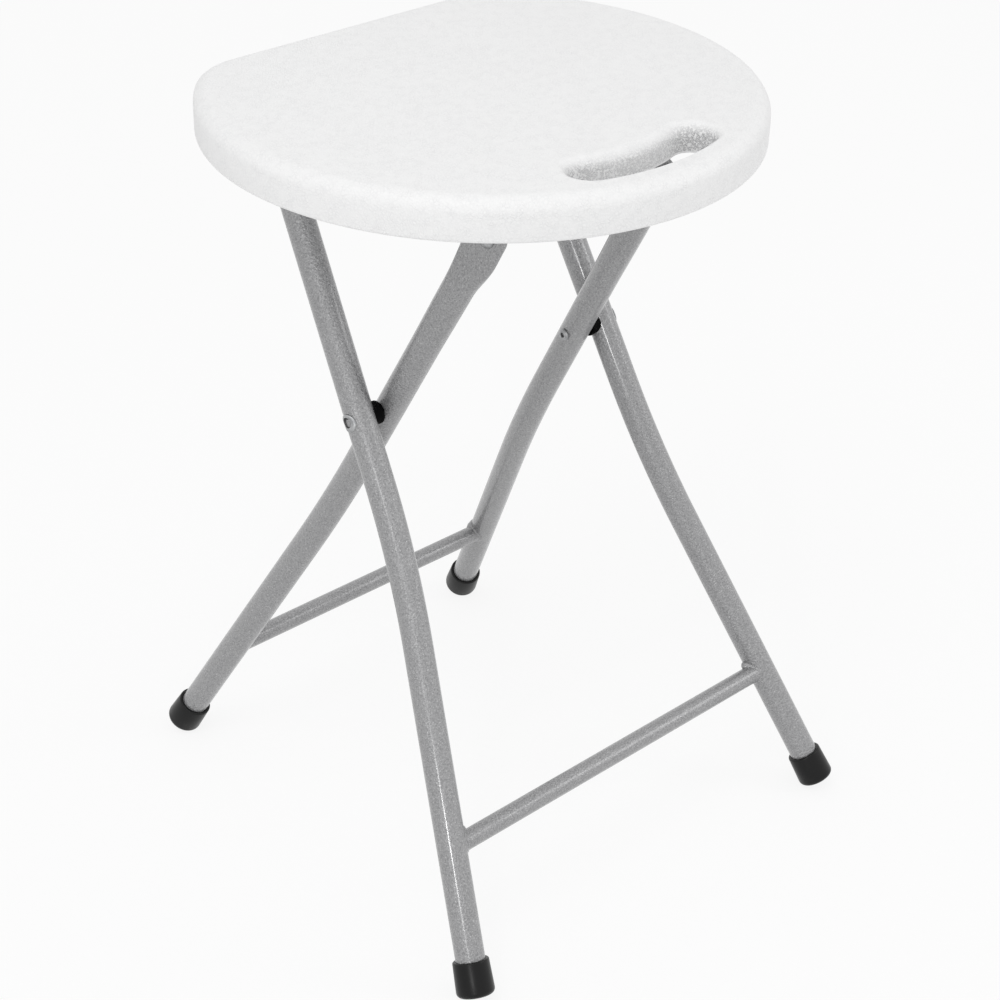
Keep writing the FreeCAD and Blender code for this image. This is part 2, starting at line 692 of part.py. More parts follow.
def seat_outline(sketch, inset):
    """A circle with one flat side at the back and rounded corners, drawn in by an inset."""
    half, centre_y = "calc.corner_centre_half", "(calc.seat_back - dims.seat_corner_radius)"
    grow = f"((dims.seat_radius - {inset}) / (dims.seat_radius - dims.seat_corner_radius))"
    back = f"calc.seat_back - {inset}"
    corners = [(half, back), (f"-1 * {half}", back),
               (f"-1 * {half} * {grow}", f"{centre_y} * {grow}"), (f"{half} * {grow}", f"{centre_y} * {grow}")]
    arcs = {1: (f"-1 * {half}", centre_y, "ccw"), 2: ("0", "0", "ccw"), 3: (half, centre_y, "ccw")}
    return draw_chain(sketch, corners, arcs)


def slot_outline(sketch):
    """The hand slot: an arc-shaped hole with round ends, concentric with the rim."""
    inner = "(calc.slot_radius - dims.slot_width / 2)"
    outer = "(calc.slot_radius + dims.slot_width / 2)"
    across, down = "sin(calc.slot_half_angle)", "cos(calc.slot_half_angle)"
    corners = [(f"-1 * {inner} * {across}", f"-1 * {inner} * {down}"),
               (f"{inner} * {across}", f"-1 * {inner} * {down}"),
               (f"{outer} * {across}", f"-1 * {outer} * {down}"),
               (f"-1 * {outer} * {across}", f"-1 * {outer} * {down}")]
    arcs = {0: ("0", "0", "ccw"),
            1: (f"calc.slot_radius * {across}", f"-1 * calc.slot_radius * {down}", "cw"),
            2: ("0", "0", "cw"),
            3: (f"-1 * calc.slot_radius * {across}", f"-1 * calc.slot_radius * {down}", "cw")}
    return draw_chain(sketch, corners, arcs)


def strap_holes(side):
    """Screw places of one hinge strap, measured from the hinge line."""
    reach = "calc.strap_outer + dims.strap_flange / 2"
    return [(f"{side} * dims.strap_centre", f"{end} * ({reach})") for end in (-1, 1)]


def hook_holes(side):
    """Screw places of one front hook, measured from the top rod."""
    front = "-1 * (calc.hook_inner + dims.hook_wall + dims.hook_flange / 2)"
    back = "dims.hook_saddle + dims.hook_flange / 2"
    return [(f"{side} * dims.hook_centre", place) for place in (front, back)]


def make_seat_shell():
    """The blow-moulded seat: flat top, deep rim, recessed underside and hand slot."""
    body = new_body("seat_shell", "calc.seat_centre", "calc.seat_bottom")
    pad(body, seat_outline(new_sketch(body, "XY", "outline"), "0"), "dims.seat_thickness")
    round_edges(body, "dims.seat_top_round", at_height(size("seat_thickness")))
    round_edges(body, "dims.seat_bottom_round", at_height(0))
    recess = seat_outline(new_sketch(body, "XY", "recess"), "dims.rim_width")
    pocket(body, recess, "dims.recess_depth", backwards=True)
    slot = slot_outline(new_sketch(body, "XY", "slot"))
    pocket(body, slot)
    top = at_height(size("seat_thickness"))
    round_edges(body, "dims.slot_lip_round",
                lambda edge: top(edge) and edge.CenterOfMass.y < 0
                and edge.BoundBox.XLength < 2 * size("slot_half_length"))

    dimple = new_sketch(body, "XY", "dimple")
    dimple.setExpression("AttachmentOffset.Base.y", "calc.dimple_centre")
    draw_circle(dimple, "dims.dimple_circle", "0", "dims.dimple_radius")
    dimple_cut = pocket(body, dimple, "dims.recess_depth + dims.dimple_depth", backwards=True)
    ring = body.newObject("PartDesign::PolarPattern", "dimple_ring")
    ring.Originals = [dimple_cut]
    ring.Axis = (dimple, ["N_Axis"])
    ring.Angle = 360
    ring.setExpression("Occurrences", "dims.dimple_count")
    body.Tip = ring
    doc.recompute()

    pilots = new_sketch(body, "XY", "pilot_holes")
    for side in (-1, 1):
        for x, y in strap_holes(side):
            draw_circle(pilots, x, f"calc.hinge_y - calc.seat_centre + {y}", "dims.screw_diameter / 2")
        for x, y in hook_holes(side):
            draw_circle(pilots, x, f"calc.rod_y - calc.seat_centre + {y}", "dims.screw_diameter / 2")
    pocket(body, pilots, "dims.recess_depth + dims.screw_grip", backwards=True)
    return body


def make_hinge_strap(name, side):
    """A bent steel strap that holds the outer frame's top bar under the seat."""
    body = new_body(name, "calc.hinge_y", "calc.hinge_z")
    inner, outer, thick = "calc.strap_inner", "calc.strap_outer", "dims.strap_thickness"
    end = f"({outer} + dims.strap_flange)"
    half = [(inner, "0"), (inner, inner), (end, inner), (end, f"{inner} - {thick}"),
            (outer, f"{inner} - {thick}"), (outer, "0")]
    corners = half + [(f"-1 * {x}", y) for x, y in reversed(half)]
    arcs = {5: ("0", "0", "cw"), 11: ("0", "0", "ccw")}
    profile = new_sketch(body, "YZ", "profile", f"{side} * dims.strap_centre")
    draw_chain(profile, corners, arcs)
    pad(body, profile, "dims.strap_width", midplane=True)
    reach = size("strap_outer") + size("strap_flange")
    round_edges(body, "dims.flange_corner",
                lambda edge: abs(abs(edge.CenterOfMass.y) - reach) < 0.01
                and edge.BoundBox.XLength < 0.01 and edge.BoundBox.ZLength > 0.1)
    holes = new_sketch(body, "XY", "holes")
    for x, y in strap_holes(side):
        draw_circle(holes, x, y, "dims.screw_diameter / 2 + dims.hole_play")
    pocket(body, holes)
    return body


def make_front_hook(name, side):
    """A moulded hook that drops over the top rod and carries the seat's front."""
    body = new_body(name, "calc.rod_y", "calc.rod_z")
    top, inner = "dims.rod_drop", "calc.hook_inner"
    flange = "dims.hook_flange_thickness"
    pivot_y, pivot_z = "(dims.pivot_back - calc.rod_y)", "-1 * dims.pivot_drop"

    def on_sweep(y):
        return f"{pivot_z} + sqrt(calc.hook_sweep^2 - ({y} - {pivot_y})^2)"

    wall = f"-1 * ({inner} + dims.hook_wall)"
    tip = f"-1 * ({inner} + dims.hook_wall + dims.hook_flange)"
    tail = "(dims.hook_saddle + dims.hook_flange)"
    corners = [(wall, "-1 * dims.hook_reach"), (f"-1 * {inner}", "-1 * dims.hook_reach"),
               (f"-1 * {inner}", on_sweep(f"-1 * {inner}")),
               ("dims.hook_saddle", on_sweep("dims.hook_saddle")),
               ("dims.hook_saddle", f"{top} - {flange}"), (tail, f"{top} - {flange}"), (tail, top),
               (tip, top), (tip, f"{top} - {flange}"), (wall, f"{top} - {flange}")]
    arcs = {2: (pivot_y, pivot_z, "cw")}
    profile = new_sketch(body, "YZ", "profile", f"{side} * dims.hook_centre")
    draw_chain(profile, corners, arcs)
    pad(body, profile, "dims.hook_width", midplane=True)
    reach = size("hook_reach")
    round_edges(body, "dims.hook_round",
                lambda edge: abs(edge.CenterOfMass.z + reach) < 0.01 and edge.BoundBox.XLength > 1)
    holes = new_sketch(body, "XY", "holes")
    for x, y in hook_holes(side):
        draw_circle(holes, x, y, "dims.screw_diameter / 2 + dims.hole_play")
    pocket(body, holes)
    return body


def make_screws(name, spots, base_y, flange):
    """A set of pan-head screws that hold one kind of fitting to the seat."""
    screws = []
    for index, (x, y) in enumerate(spots):
        head = doc.addObject("Part::Cone", f"{name}_head_{index}")
        head.setExpression("Radius1", "dims.screw_head_base / 2")
        head.setExpression("Radius2", "dims.screw_head_diameter / 2")
        head.setExpression("Height", "dims.screw_head_height")
        shank = doc.addObject("Part::Cylinder", f"{name}_shank_{index}")
        shank.setExpression("Radius", "dims.screw_diameter / 2")
        shank.setExpression("Height", f"{flange} + dims.screw_grip - dims.screw_tip_gap")
        for piece, z in ((head, f"calc.recess_z - {flange} - dims.screw_head_height"),
                         (shank, f"calc.recess_z - {flange}")):
            piece.setExpression("Placement.Base.x", x)
            piece.setExpression("Placement.Base.y", f"{base_y} + {y}")
            piece.setExpression("Placement.Base.z", z)
        screw = doc.addObject("Part::Fuse", f"{name}_screw_{index}")
        screw.Base, screw.Tool = head, shank
        screws.append(screw)
    group = doc.addObject("Part::Compound", name)
    group.Label = name
    group.Links = screws
    return group


def make_all():
    """Build every sub-part and return them in order."""
    parts = [make_seat_shell(), make_outer_tube()]
    for name, side in (("left", -1), ("right", 1)):
        parts.append(make_inner_leg(f"inner_leg_{name}", side))
        parts.append(make_foot(f"outer_foot_{name}", "outer", side, outer_plane_body))
        parts.append(make_foot(f"inner_foot_{name}", "inner", side, inner_plane_body))
        parts.append(make_pivot_rivet(f"pivot_rivet_{name}", side))
        parts.append(make_pivot_spacer(f"pivot_spacer_{name}", side))
        parts.append(make_hinge_strap(f"hinge_strap_{name}", side))
        parts.append(make_front_hook(f"front_hook_{name}", side))
    parts.append(make_stretcher("outer", outer_plane_body))
    parts.append(make_stretcher("inner", inner_plane_body))
    parts.append(make_top_rod())
    parts.append(make_screws("strap_screws", strap_holes(-1) + strap_holes(1), "calc.hinge_y",
                             "dims.strap_thickness"))
    parts.append(make_screws("hook_screws", hook_holes(-1) + hook_holes(1), "calc.rod_y",
                             "dims.hook_flange_thickness"))
    return parts


def write_parts(parts):
    """Check the whole document, then write one file for each sub-part."""
    doc.recompute()
    failed = [item.Label for item in doc.Objects if "Invalid" in item.State or "Error" in item.State]
    if failed:
        raise RuntimeError(f"not made: {', '.join(failed)}")
    os.makedirs("parts", exist_ok=True)
    for part in parts:
        shape = part.Shape
        if shape.isNull() or not shape.isValid() or not shape.Solids:
            raise RuntimeError(f"{part.Label} has no sound shape")
        shape.exportStep(f"parts/{part.Label}.step")
        print(f"{part.Label}: {len(shape.Solids)} solid(s), {shape.Volume:.0f} mm3")


write_parts(make_all())
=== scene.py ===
"""Looks of a round folding stool: a moulded seat on two crossed, splayed tube frames in hammertone paint."""
import json
import logging
import math
import random
from dataclasses import dataclass
from enum import Enum
from typing import Sequence, Union

import bmesh
import bpy
from mathutils import Matrix, Vector


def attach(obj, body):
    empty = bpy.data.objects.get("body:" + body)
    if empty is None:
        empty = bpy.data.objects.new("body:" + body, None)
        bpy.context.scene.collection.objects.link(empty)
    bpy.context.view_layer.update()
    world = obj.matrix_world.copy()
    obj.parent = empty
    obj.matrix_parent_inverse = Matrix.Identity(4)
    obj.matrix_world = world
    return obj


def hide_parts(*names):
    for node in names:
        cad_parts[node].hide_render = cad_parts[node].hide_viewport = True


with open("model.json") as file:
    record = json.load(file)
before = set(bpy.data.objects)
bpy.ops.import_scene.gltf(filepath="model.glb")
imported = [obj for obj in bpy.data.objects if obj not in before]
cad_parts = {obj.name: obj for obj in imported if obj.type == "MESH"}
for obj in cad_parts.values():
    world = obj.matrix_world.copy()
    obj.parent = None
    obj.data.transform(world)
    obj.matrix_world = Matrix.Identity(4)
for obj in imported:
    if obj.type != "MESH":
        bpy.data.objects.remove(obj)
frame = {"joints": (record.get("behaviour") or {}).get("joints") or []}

log = logging.getLogger("folding_stool")

Colour = tuple[float, float, float]
Point = Union[tuple[float, float, float], Vector]
Geometry = list[Union[bmesh.types.BMVert, bmesh.types.BMEdge, bmesh.types.BMFace]]

WHITE: Colour = (1.0, 1.0, 1.0)
ORIGIN: Point = (0.0, 0.0, 0.0)
ACROSS: Point = (1.0, 0.0, 0.0)
UP: Point = (0.0, 0.0, 1.0)
Z_TO_X = Matrix.Rotation(math.pi / 2, 4, "Y")


class Body(Enum):
    """The rigid groups of the frame that pieces ride on."""

    OUTER = "outer_frame"
    INNER = "inner_frame"
    SEAT = "seat"


class Slot(Enum):
    """The record's material slots."""

    SEAT = "seat"
    FRAME = "frame"
    STEEL = "bare_steel"
    FITTINGS = "fittings"
    FEET = "feet"


class Side(Enum):
    """Left and right, as the sign of X."""

    LEFT = -1
    RIGHT = 1

    @property
    def word(self) -> str:
        """The side's name in node names."""
        return self.name.lower()


def add_object(name: str, data: bpy.types.ID) -> bpy.types.Object:
    """Put some data into the scene as an object."""
    made = bpy.data.objects.new(name, data)
    bpy.context.scene.collection.objects.link(made)
    return made


# Shader building

class Signal:
    """A shader socket that takes part in sums and products as a number does."""

    def __init__(self, graph: "Graph", socket: bpy.types.NodeSocket) -> None:
        """Wrap one output socket of a graph.

        Args:
            graph: The graph that the socket belongs to.
            socket: The output socket.
        """
        self.graph = graph
        self.socket = socket

    def __add__(self, other: "Feed") -> "Signal":
        """Sum of two signals."""
        return self.graph.maths("ADD", self, other)

    __radd__ = __add__

    def __sub__(self, other: "Feed") -> "Signal":
        """Difference of two signals."""
        return self.graph.maths("SUBTRACT", self, other)

    def __rsub__(self, other: "Feed") -> "Signal":
        """Difference where the number comes first."""
        return self.graph.maths("SUBTRACT", other, self)

    def __mul__(self, other: "Feed") -> "Signal":
        """Product of two signals."""
        return self.graph.maths("MULTIPLY", self, other)

    __rmul__ = __mul__


Feed = Union[Signal, float, Colour]


class Graph:
    """The nodes of a material or of the world."""

    def __init__(self, owner: bpy.types.Material | bpy.types.World) -> None:
        """Start with an empty node tree.

        Args:
            owner: The material or world that the nodes belong to.
        """
        owner.use_nodes = True
        self.owner = owner
        self.tree = owner.node_tree
        self.tree.nodes.clear()

    @classmethod
    def named(cls, name: str) -> "Graph":
        """Start a new material."""
        return cls(bpy.data.materials.new(name))

    def node(self, kind: str, settings: dict | None = None, inputs: dict | None = None,
             output: int | str = 0) -> Signal | None:
        """Add a node of any type.

        Args:
            kind: The node's type.
            settings: Its own settings, and a ramp's stops, which are set first.
            inputs: Values or signals for its sockets.
            output: The output that is passed on.

        Returns:
            The chosen output as a signal, or None where the node has no output.
        """
        made = self.tree.nodes.new(kind)
        for key, value in (settings or {}).items():
            if key == "stops":
                self._set_stops(made.color_ramp, value)
            else:
                setattr(made, key, value)
        for key, value in (inputs or {}).items():
            socket = made.inputs[key]
            if isinstance(value, Signal):
                self.tree.links.new(value.socket, socket)
            elif isinstance(value, tuple) and len(value) == 3 and socket.type == "RGBA":
                socket.default_value = (*value, 1.0)
            else:
                socket.default_value = value
        return Signal(self, made.outputs[output]) if len(made.outputs) else None

    @staticmethod
    def _set_stops(ramp: bpy.types.ColorRamp, stops: Sequence[tuple[float, float]]) -> None:
        """Give a ramp its (position, grey level) stops."""
        while len(ramp.elements) < len(stops):
            ramp.elements.new(1.0)
        for element, (position, level) in zip(ramp.elements, stops):
            element.position = position
            element.color = (level, level, level, 1.0)

    def maths(self, operation: str, first: Feed, second: Feed) -> Signal:
        """Join two values with a Math node."""
        return self.node("ShaderNodeMath", {"operation": operation}, {0: first, 1: second})

    def less(self, value: Feed, limit: Feed) -> Signal:
        """1 where a value is under a limit, and 0 elsewhere."""
        return self.maths("LESS_THAN", value, limit)

    def place(self) -> Signal:
        """The point's own coordinates in metres."""
        return self.node("ShaderNodeTexCoord", output="Object")

    def axes(self) -> list[Signal]:
        """The point's own X, Y and Z in metres."""
        return [self.node("ShaderNodeSeparateXYZ", None, {"Vector": self.place()}, output=axis)
                for axis in "XYZ"]

    def seen(self) -> Signal:
        """1 for camera, mirror and glass rays, and 0 for the rest."""
        camera, mirror, glass = (self.node("ShaderNodeLightPath", output=f"Is {ray} Ray")
                                 for ray in ("Camera", "Glossy", "Transmission"))
        return self.maths("MAXIMUM", self.maths("MAXIMUM", camera, mirror), glass)

    def noise(self, scale: float, detail: float = 2.0, roughness: float = 0.5) -> Signal:
        """Soft noise from 0 to 1.

        Args:
            scale: Blotches for each metre.
            detail: Octaves of finer noise.
            roughness: Strength of the finer noise.

        Returns:
            The noise value.
        """
        return self.node("ShaderNodeTexNoise", None,
                         {"Vector": self.place(), "Scale": scale, "Detail": detail, "Roughness": roughness})

    def cells(self, scale: float, feature: str = "F1", where: Signal | None = None,
              smoothness: float = 0.4) -> Signal:
        """Distance from the middle, or the edge, of random cells.

        Args:
            scale: Cells for each metre.
            feature: Which distance is measured.
            where: Coordinates, or None for the point's own.
            smoothness: Softness of smooth cells.

        Returns:
            The distance.
        """
        inputs = {"Vector": where or self.place(), "Scale": scale}
        if feature == "SMOOTH_F1":
            inputs["Smoothness"] = smoothness
        return self.node("ShaderNodeTexVoronoi", {"feature": feature}, inputs, output="Distance")

    def warped(self, scale: float, amount: float) -> Signal:
        """The point's coordinates, shaken by noise.

        Args:
            scale: Scale of the noise for each metre.
            amount: How far a point moves, in metres.

        Returns:
            The shaken coordinates.
        """
        shake = self.node("ShaderNodeTexNoise", None, {"Vector": self.place(), "Scale": scale, "Detail": 2.0},
                          output="Color")
        centred = self.node("ShaderNodeVectorMath", {"operation": "SUBTRACT"}, {0: shake, 1: (0.5, 0.5, 0.5)})
        scaled = self.node("ShaderNodeVectorMath", {"operation": "SCALE"}, {0: centred, "Scale": amount})
        return self.node("ShaderNodeVectorMath", {"operation": "ADD"}, {0: self.place(), 1: scaled})

    def ramp(self, value: Signal, stops: Sequence[tuple[float, float]]) -> Signal:
        """A value passed through (position, level) stops."""
        return self.node("ShaderNodeValToRGB", {"stops": stops}, {"Fac": value})

    def spread(self, value: Signal, source: tuple[float, float], target: tuple[float, float]) -> Signal:
        """A value carried from one range to another and held at the ends."""
        return self.node("ShaderNodeMapRange", None,
                         {"Value": value, "From Min": source[0], "From Max": source[1],
                          "To Min": target[0], "To Max": target[1]})

    def blend(self, mask: Feed, low: Feed, high: Feed) -> Signal:
        """Two colours mixed by a mask."""
        return self.node("ShaderNodeMix", {"data_type": "RGBA"}, {0: mask, 6: low, 7: high}, output=2)

    def bump(self, height: Signal, distance: float, strength: float = 1.0,
             under: Signal | None = None) -> Signal:
        """A surface normal tilted by a height.

        Args:
            height: The height signal.
            distance: Metres that a height of 1 stands out.
            strength: Share of the effect.
            under: A coarser normal that this one is laid on.

        Returns:
            The tilted normal.
        """
        inputs = {"Height": height, "Distance": distance, "Strength": strength}
        if under is not None:
            inputs["Normal"] = under
        return self.node("ShaderNodeBump", None, inputs)

    def surface(self, **inputs: Feed) -> bpy.types.Material:
        """Close the graph with a Principled shader.

        Args:
            inputs: Values or signals, with spaces in socket names written as underscores.

        Returns:
            The finished material.
        """
        named = {key.replace("_", " "): value for key, value in inputs.items()}
        return self.close(self.node("ShaderNodeBsdfPrincipled", None, named))

    def close(self, shader: Signal) -> bpy.types.Material | bpy.types.World:
        """End the graph with its output node and return the owner."""
        kind = "World" if isinstance(self.owner, bpy.types.World) else "Material"
        self.node(f"ShaderNodeOutput{kind}", None, {"Surface": shader})
        return self.owner


# Finishes

@dataclass(frozen=True)
class PebbledPlastic:
    """White moulded polyethylene: finely grained, and coarsely creased on the walls of the hand slot, with
    painted shade that darkens those creases deeper into the slot and towards its ends.
    """

    colour: Colour = (0.87, 0.87, 0.87)
    shade: Colour = (0.79, 0.79, 0.795)
    # Colour of the slot wall's creases: real grain, darkened with painted shade.
    crease: Colour = (0.42, 0.42, 0.43)
    pebbles: float = 900.0
    relief: float = 0.00026
    seat_middle: float = 0.0146
    slot_reach: float = 0.1405
    slot_front: float = -0.08
    # Heights and end distances over which the painted shade in the slot grows.
    slot_shade_heights: tuple[float, float] = (0.4395, 0.4345)
    slot_foot: float = 0.4255
    end_shade_from: float = 0.010
    end_shade_to: float = 0.040

    def _slot_wall_shade(self, graph: Graph) -> Signal:
        """Mask of the painted shade on the hand slot's walls: 0 elsewhere, growing deeper into the slot and
        strongest at its ends.
        """
        x, y, z = graph.axes()
        off = y - self.seat_middle
        near = graph.less(x * x + off * off, self.slot_reach ** 2) * graph.less(y, self.slot_front)
        above = graph.less(self.slot_foot, z)
        deep = graph.spread(z, self.slot_shade_heights, (0.0, 1.0))
        ends = graph.spread(x * x, (self.end_shade_from ** 2, self.end_shade_to ** 2), (0.40, 0.62))
        return near * above * deep * ends

    def material(self) -> bpy.types.Material:
        """Make the material."""
        graph = Graph.named("pebbled_plastic")
        shaken = graph.warped(340.0, 0.0011)
        pebble = graph.cells(self.pebbles, "SMOOTH_F1", shaken, 0.5)
        crease = graph.ramp(graph.cells(self.pebbles * 0.6, "DISTANCE_TO_EDGE", shaken),
                            [(0.0, 0.0), (0.22, 1.0)])
        patchy = graph.ramp(graph.noise(210.0, 2.0), [(0.35, 0.25), (0.65, 1.0)])
        wall = self._slot_wall_shade(graph)
        # Creases on the slot walls are real grain; the mask darkens them with painted shade deeper into the
        # slot and at its ends.
        worm_and_slot_shade = wall * graph.ramp(graph.noise(640.0, 2.0, 0.6),
                                 [(0.41, 0.0), (0.47, 1.0), (0.50, 1.0), (0.56, 0.0)])
        height = (1 - pebble) * 0.45 + crease * patchy * 0.4 - worm_and_slot_shade * 1.6
        grain = graph.bump(height, self.relief)
        wavy = graph.bump(graph.noise(26.0, 1.0), 0.0010, 0.20, grain)
        mottle = graph.noise(14.0, 3.0) * 0.12 + (1 - crease) * patchy * 0.6
        base = graph.blend(worm_and_slot_shade, graph.blend(mottle, self.colour, self.shade), self.crease)
        return graph.surface(Base_Color=base, Roughness=graph.noise(120.0) * 0.14 + 0.42,
                             Normal=wavy, IOR=1.5, Specular_IOR_Level=0.4)


@dataclass(frozen=True)
class HammertonePaint:
    """Silver-grey hammered paint on steel tube."""

    colour: Colour = (0.315, 0.315, 0.32)
    valley: Colour = (0.16, 0.16, 0.165)
    flake: Colour = (0.66, 0.66, 0.66)
    dents: float = 780.0
    relief: float = 0.00038

    def material(self) -> bpy.types.Material:
        """Make the material."""
        graph = Graph.named("hammertone_paint")
        shaken = graph.warped(520.0, 0.0011)
        dent = graph.cells(self.dents, "SMOOTH_F1", shaken, 0.6)
        vein = graph.ramp(graph.noise(980.0, 3.0, 0.62), [(0.46, 0.0), (0.62, 1.0)])
        flake = graph.ramp(graph.noise(1500.0, 1.0), [(0.62, 0.0), (0.70, 1.0)])
        base = graph.blend(vein * 0.6, self.colour, self.valley)
        base = graph.blend(flake * 0.5, base, self.flake)
        hammered = graph.bump(dent, self.relief)
        speckled = graph.bump(graph.noise(1200.0, 2.0), 0.00012, 0.9, hammered)
        return graph.surface(Base_Color=base, Metallic=0.38,
                             Roughness=graph.noise(800.0) * 0.20 + 0.30,
                             Normal=speckled, Coat_Weight=0.80, Coat_Roughness=0.16)


@dataclass(frozen=True)
class DullRubber:
    """Black rubber of the foot caps, scuffed near the floor."""

    colour: Colour = (0.0035, 0.0035, 0.0037)
    scuff: Colour = (0.030, 0.029, 0.028)
    scuff_height: float = 0.012

    def material(self) -> bpy.types.Material:
        """Make the material."""
        graph = Graph.named("dull_rubber")
        low = graph.spread(graph.axes()[2], (0.0, self.scuff_height), (1.0, 0.0))
        dust = low * graph.ramp(graph.noise(330.0, 4.0, 0.65), [(0.45, 0.0), (0.75, 1.0)])
        fine = graph.bump(graph.noise(2400.0, 2.0), 0.00004, 0.7)
        return graph.surface(Base_Color=graph.blend(dust, self.colour, self.scuff),
                             Roughness=graph.noise(160.0) * 0.10 + 0.28, Normal=fine,
                             Specular_IOR_Level=0.26)


@dataclass(frozen=True)
class MouldedNylon:
    """Black moulded nylon of the bushes."""

    colour: Colour = (0.0020, 0.0020, 0.0022)
    worn: Colour = (0.0050, 0.0050, 0.0052)

    def material(self) -> bpy.types.Material:
        """Make the material."""
        graph = Graph.named("moulded_nylon")
        patch = graph.ramp(graph.noise(140.0, 3.0), [(0.40, 0.0), (0.70, 1.0)])
        return graph.surface(Base_Color=graph.blend(patch, self.colour, self.worn),
                             Roughness=patch * 0.12 + 0.60,
                             Normal=graph.bump(graph.noise(3000.0, 2.0), 0.00003, 0.6),
                             Specular_IOR_Level=0.03)


@dataclass(frozen=True)
class ZincSteel:
    """Bare zinc-plated steel of rivets, rod, straps and screws, with grime and painted shade in the hollows
    of the rivets.
    """

    colour: Colour = (0.44, 0.445, 0.45)
    dark: Colour = (0.21, 0.215, 0.225)
    # Colour of the rivet hollows: grime and painted shade.
    grime_and_shade: Colour = (0.070, 0.070, 0.072)
    hollow_place: tuple[float, float] = (0.00655, 0.2760)
    hollow_radius: float = 0.0030
    hollow_from: float = 0.090

    def _hollow_shade_mask(self, graph: Graph) -> Signal:
        """1 in the hollows of the rivets' heads, where grime and painted shade darken the steel, and 0
        elsewhere.
        """
        x, y, z = graph.axes()
        off, rise = y - self.hollow_place[0], z - self.hollow_place[1]
        return (graph.less(off * off + rise * rise, self.hollow_radius ** 2)
                * graph.less(self.hollow_from ** 2, x * x))

    def material(self) -> bpy.types.Material:
        """Make the material."""
        graph = Graph.named("zinc_steel")
        cloud = graph.noise(260.0, 4.0, 0.6)
        stain = graph.ramp(cloud, [(0.42, 0.0), (0.78, 1.0)])
        base = graph.blend(self._hollow_shade_mask(graph), graph.blend(stain, self.colour, self.dark), self.grime_and_shade)
        return graph.surface(Base_Color=base, Metallic=1.0,
                             Roughness=cloud * 0.22 + 0.30,
                             Normal=graph.bump(graph.noise(2600.0, 2.0), 0.00003, 0.5))


class Palette:
    """One material for each of the record's slots, shared by all pieces."""

    def __init__(self) -> None:
        """Make the materials."""
        finishes = {Slot.SEAT: PebbledPlastic(), Slot.FRAME: HammertonePaint(), Slot.FEET: DullRubber(),
                    Slot.FITTINGS: MouldedNylon(), Slot.STEEL: ZincSteel()}
        self.materials = {slot: finish.material() for slot, finish in finishes.items()}


# The studio

@dataclass(frozen=True)
class Lamp:
    """A soft square lamp: its name, place, the point that it faces, side in metres and power in watts."""

    name: str
    place: Point
    aim: Point
    size: float
    power: float

    def hang(self) -> None:
        """Add the lamp to the scene."""
        data = bpy.data.lights.new(self.name, "AREA")
        data.size = self.size
        data.energy = self.power
        facing = (Vector(self.aim) - Vector(self.place)).to_track_quat("-Z", "Y").to_matrix().to_4x4()
        add_object(self.name, data).matrix_world = Matrix.Translation(self.place) @ facing


@dataclass(frozen=True)
class Studio:
    """The camera, the lamps, the pale floor and the white surround."""

    camera_place: Point = (-0.7335, -0.7732, 0.8511)
    yaw: float = math.radians(-43.374)
    pitch: float = math.radians(-31.76)
    roll: float = math.radians(1.664)
    lens: float = 78.34
    shift: tuple[float, float] = (0.0141, -0.0004)
    ambient: float = 0.74
    floor_half: float = 6.0
    floor_colour: Colour = (0.86, 0.86, 0.86)
    floor_glow: float = 0.86
    lamps: tuple[Lamp, ...] = (
        Lamp("key", (-0.9, -0.3, 1.9), (0.0, 0.0, 0.3), 0.9, 7.5),
        Lamp("front", (-1.50, -1.28, 0.69), (0.0, 0.0, 0.2), 0.10, 4.0),
        Lamp("side", (1.3, -1.2, 1.2), (0.0, 0.0, 0.25), 0.7, 4.5))

    def add_camera(self) -> None:
        """Set the camera at the photograph's viewing angle."""
        data = bpy.data.cameras.new("camera")
        data.sensor_width = 36.0
        data.lens = self.lens
        data.shift_x, data.shift_y = self.shift
        data.clip_start = 0.05
        forward = Vector((-math.sin(self.yaw) * math.cos(self.pitch),
                          math.cos(self.yaw) * math.cos(self.pitch), math.sin(self.pitch)))
        level = forward.cross(Vector(UP)).normalized()
        upright = level.cross(forward)
        right = math.cos(self.roll) * level + math.sin(self.roll) * upright
        above = math.cos(self.roll) * upright - math.sin(self.roll) * level
        turn = Matrix((right, above, -forward)).transposed().to_4x4()
        camera = add_object("camera", data)
        camera.matrix_world = Matrix.Translation(self.camera_place) @ turn
        bpy.context.scene.camera = camera

    def add_world(self) -> None:
        """White to the camera and in reflections, and a dimmer grey to the object."""
        world = bpy.data.worlds.new("surround")
        bpy.context.scene.world = world
        graph = Graph(world)
        dim, white = (graph.node("ShaderNodeBackground", None, {"Color": WHITE, "Strength": level})
                      for level in (self.ambient, 1.0))
        graph.close(graph.node("ShaderNodeMixShader", None, {0: graph.seen(), 1: dim, 2: white}))

    def add_floor(self) -> None:
        """Lay a pale floor that looks white and still takes the stool's shadow."""
        mesh = bmesh.new()
        bmesh.ops.create_grid(mesh, x_segments=1, y_segments=1, size=self.floor_half)
        data = bpy.data.meshes.new("floor")
        mesh.to_mesh(data)
        mesh.free()
        graph = Graph.named("pale_floor")
        matt = graph.node("ShaderNodeBsdfDiffuse", None, {"Color": self.floor_colour})
        lit = graph.node("ShaderNodeEmission", None, {"Color": WHITE, "Strength": 1.0})
        share = graph.seen() * self.floor_glow
        mixed = graph.node("ShaderNodeMixShader", None, {0: share, 1: matt, 2: lit})
        data.materials.append(graph.close(mixed))
        add_object("floor", data)

    def build(self) -> None:
        """Put up the whole studio."""
        self.add_camera()
        self.add_world()
        self.add_floor()
        for lamp in self.lamps:
            lamp.hang()
        bpy.context.scene.view_settings.view_transform = "Standard"


# Mesh building

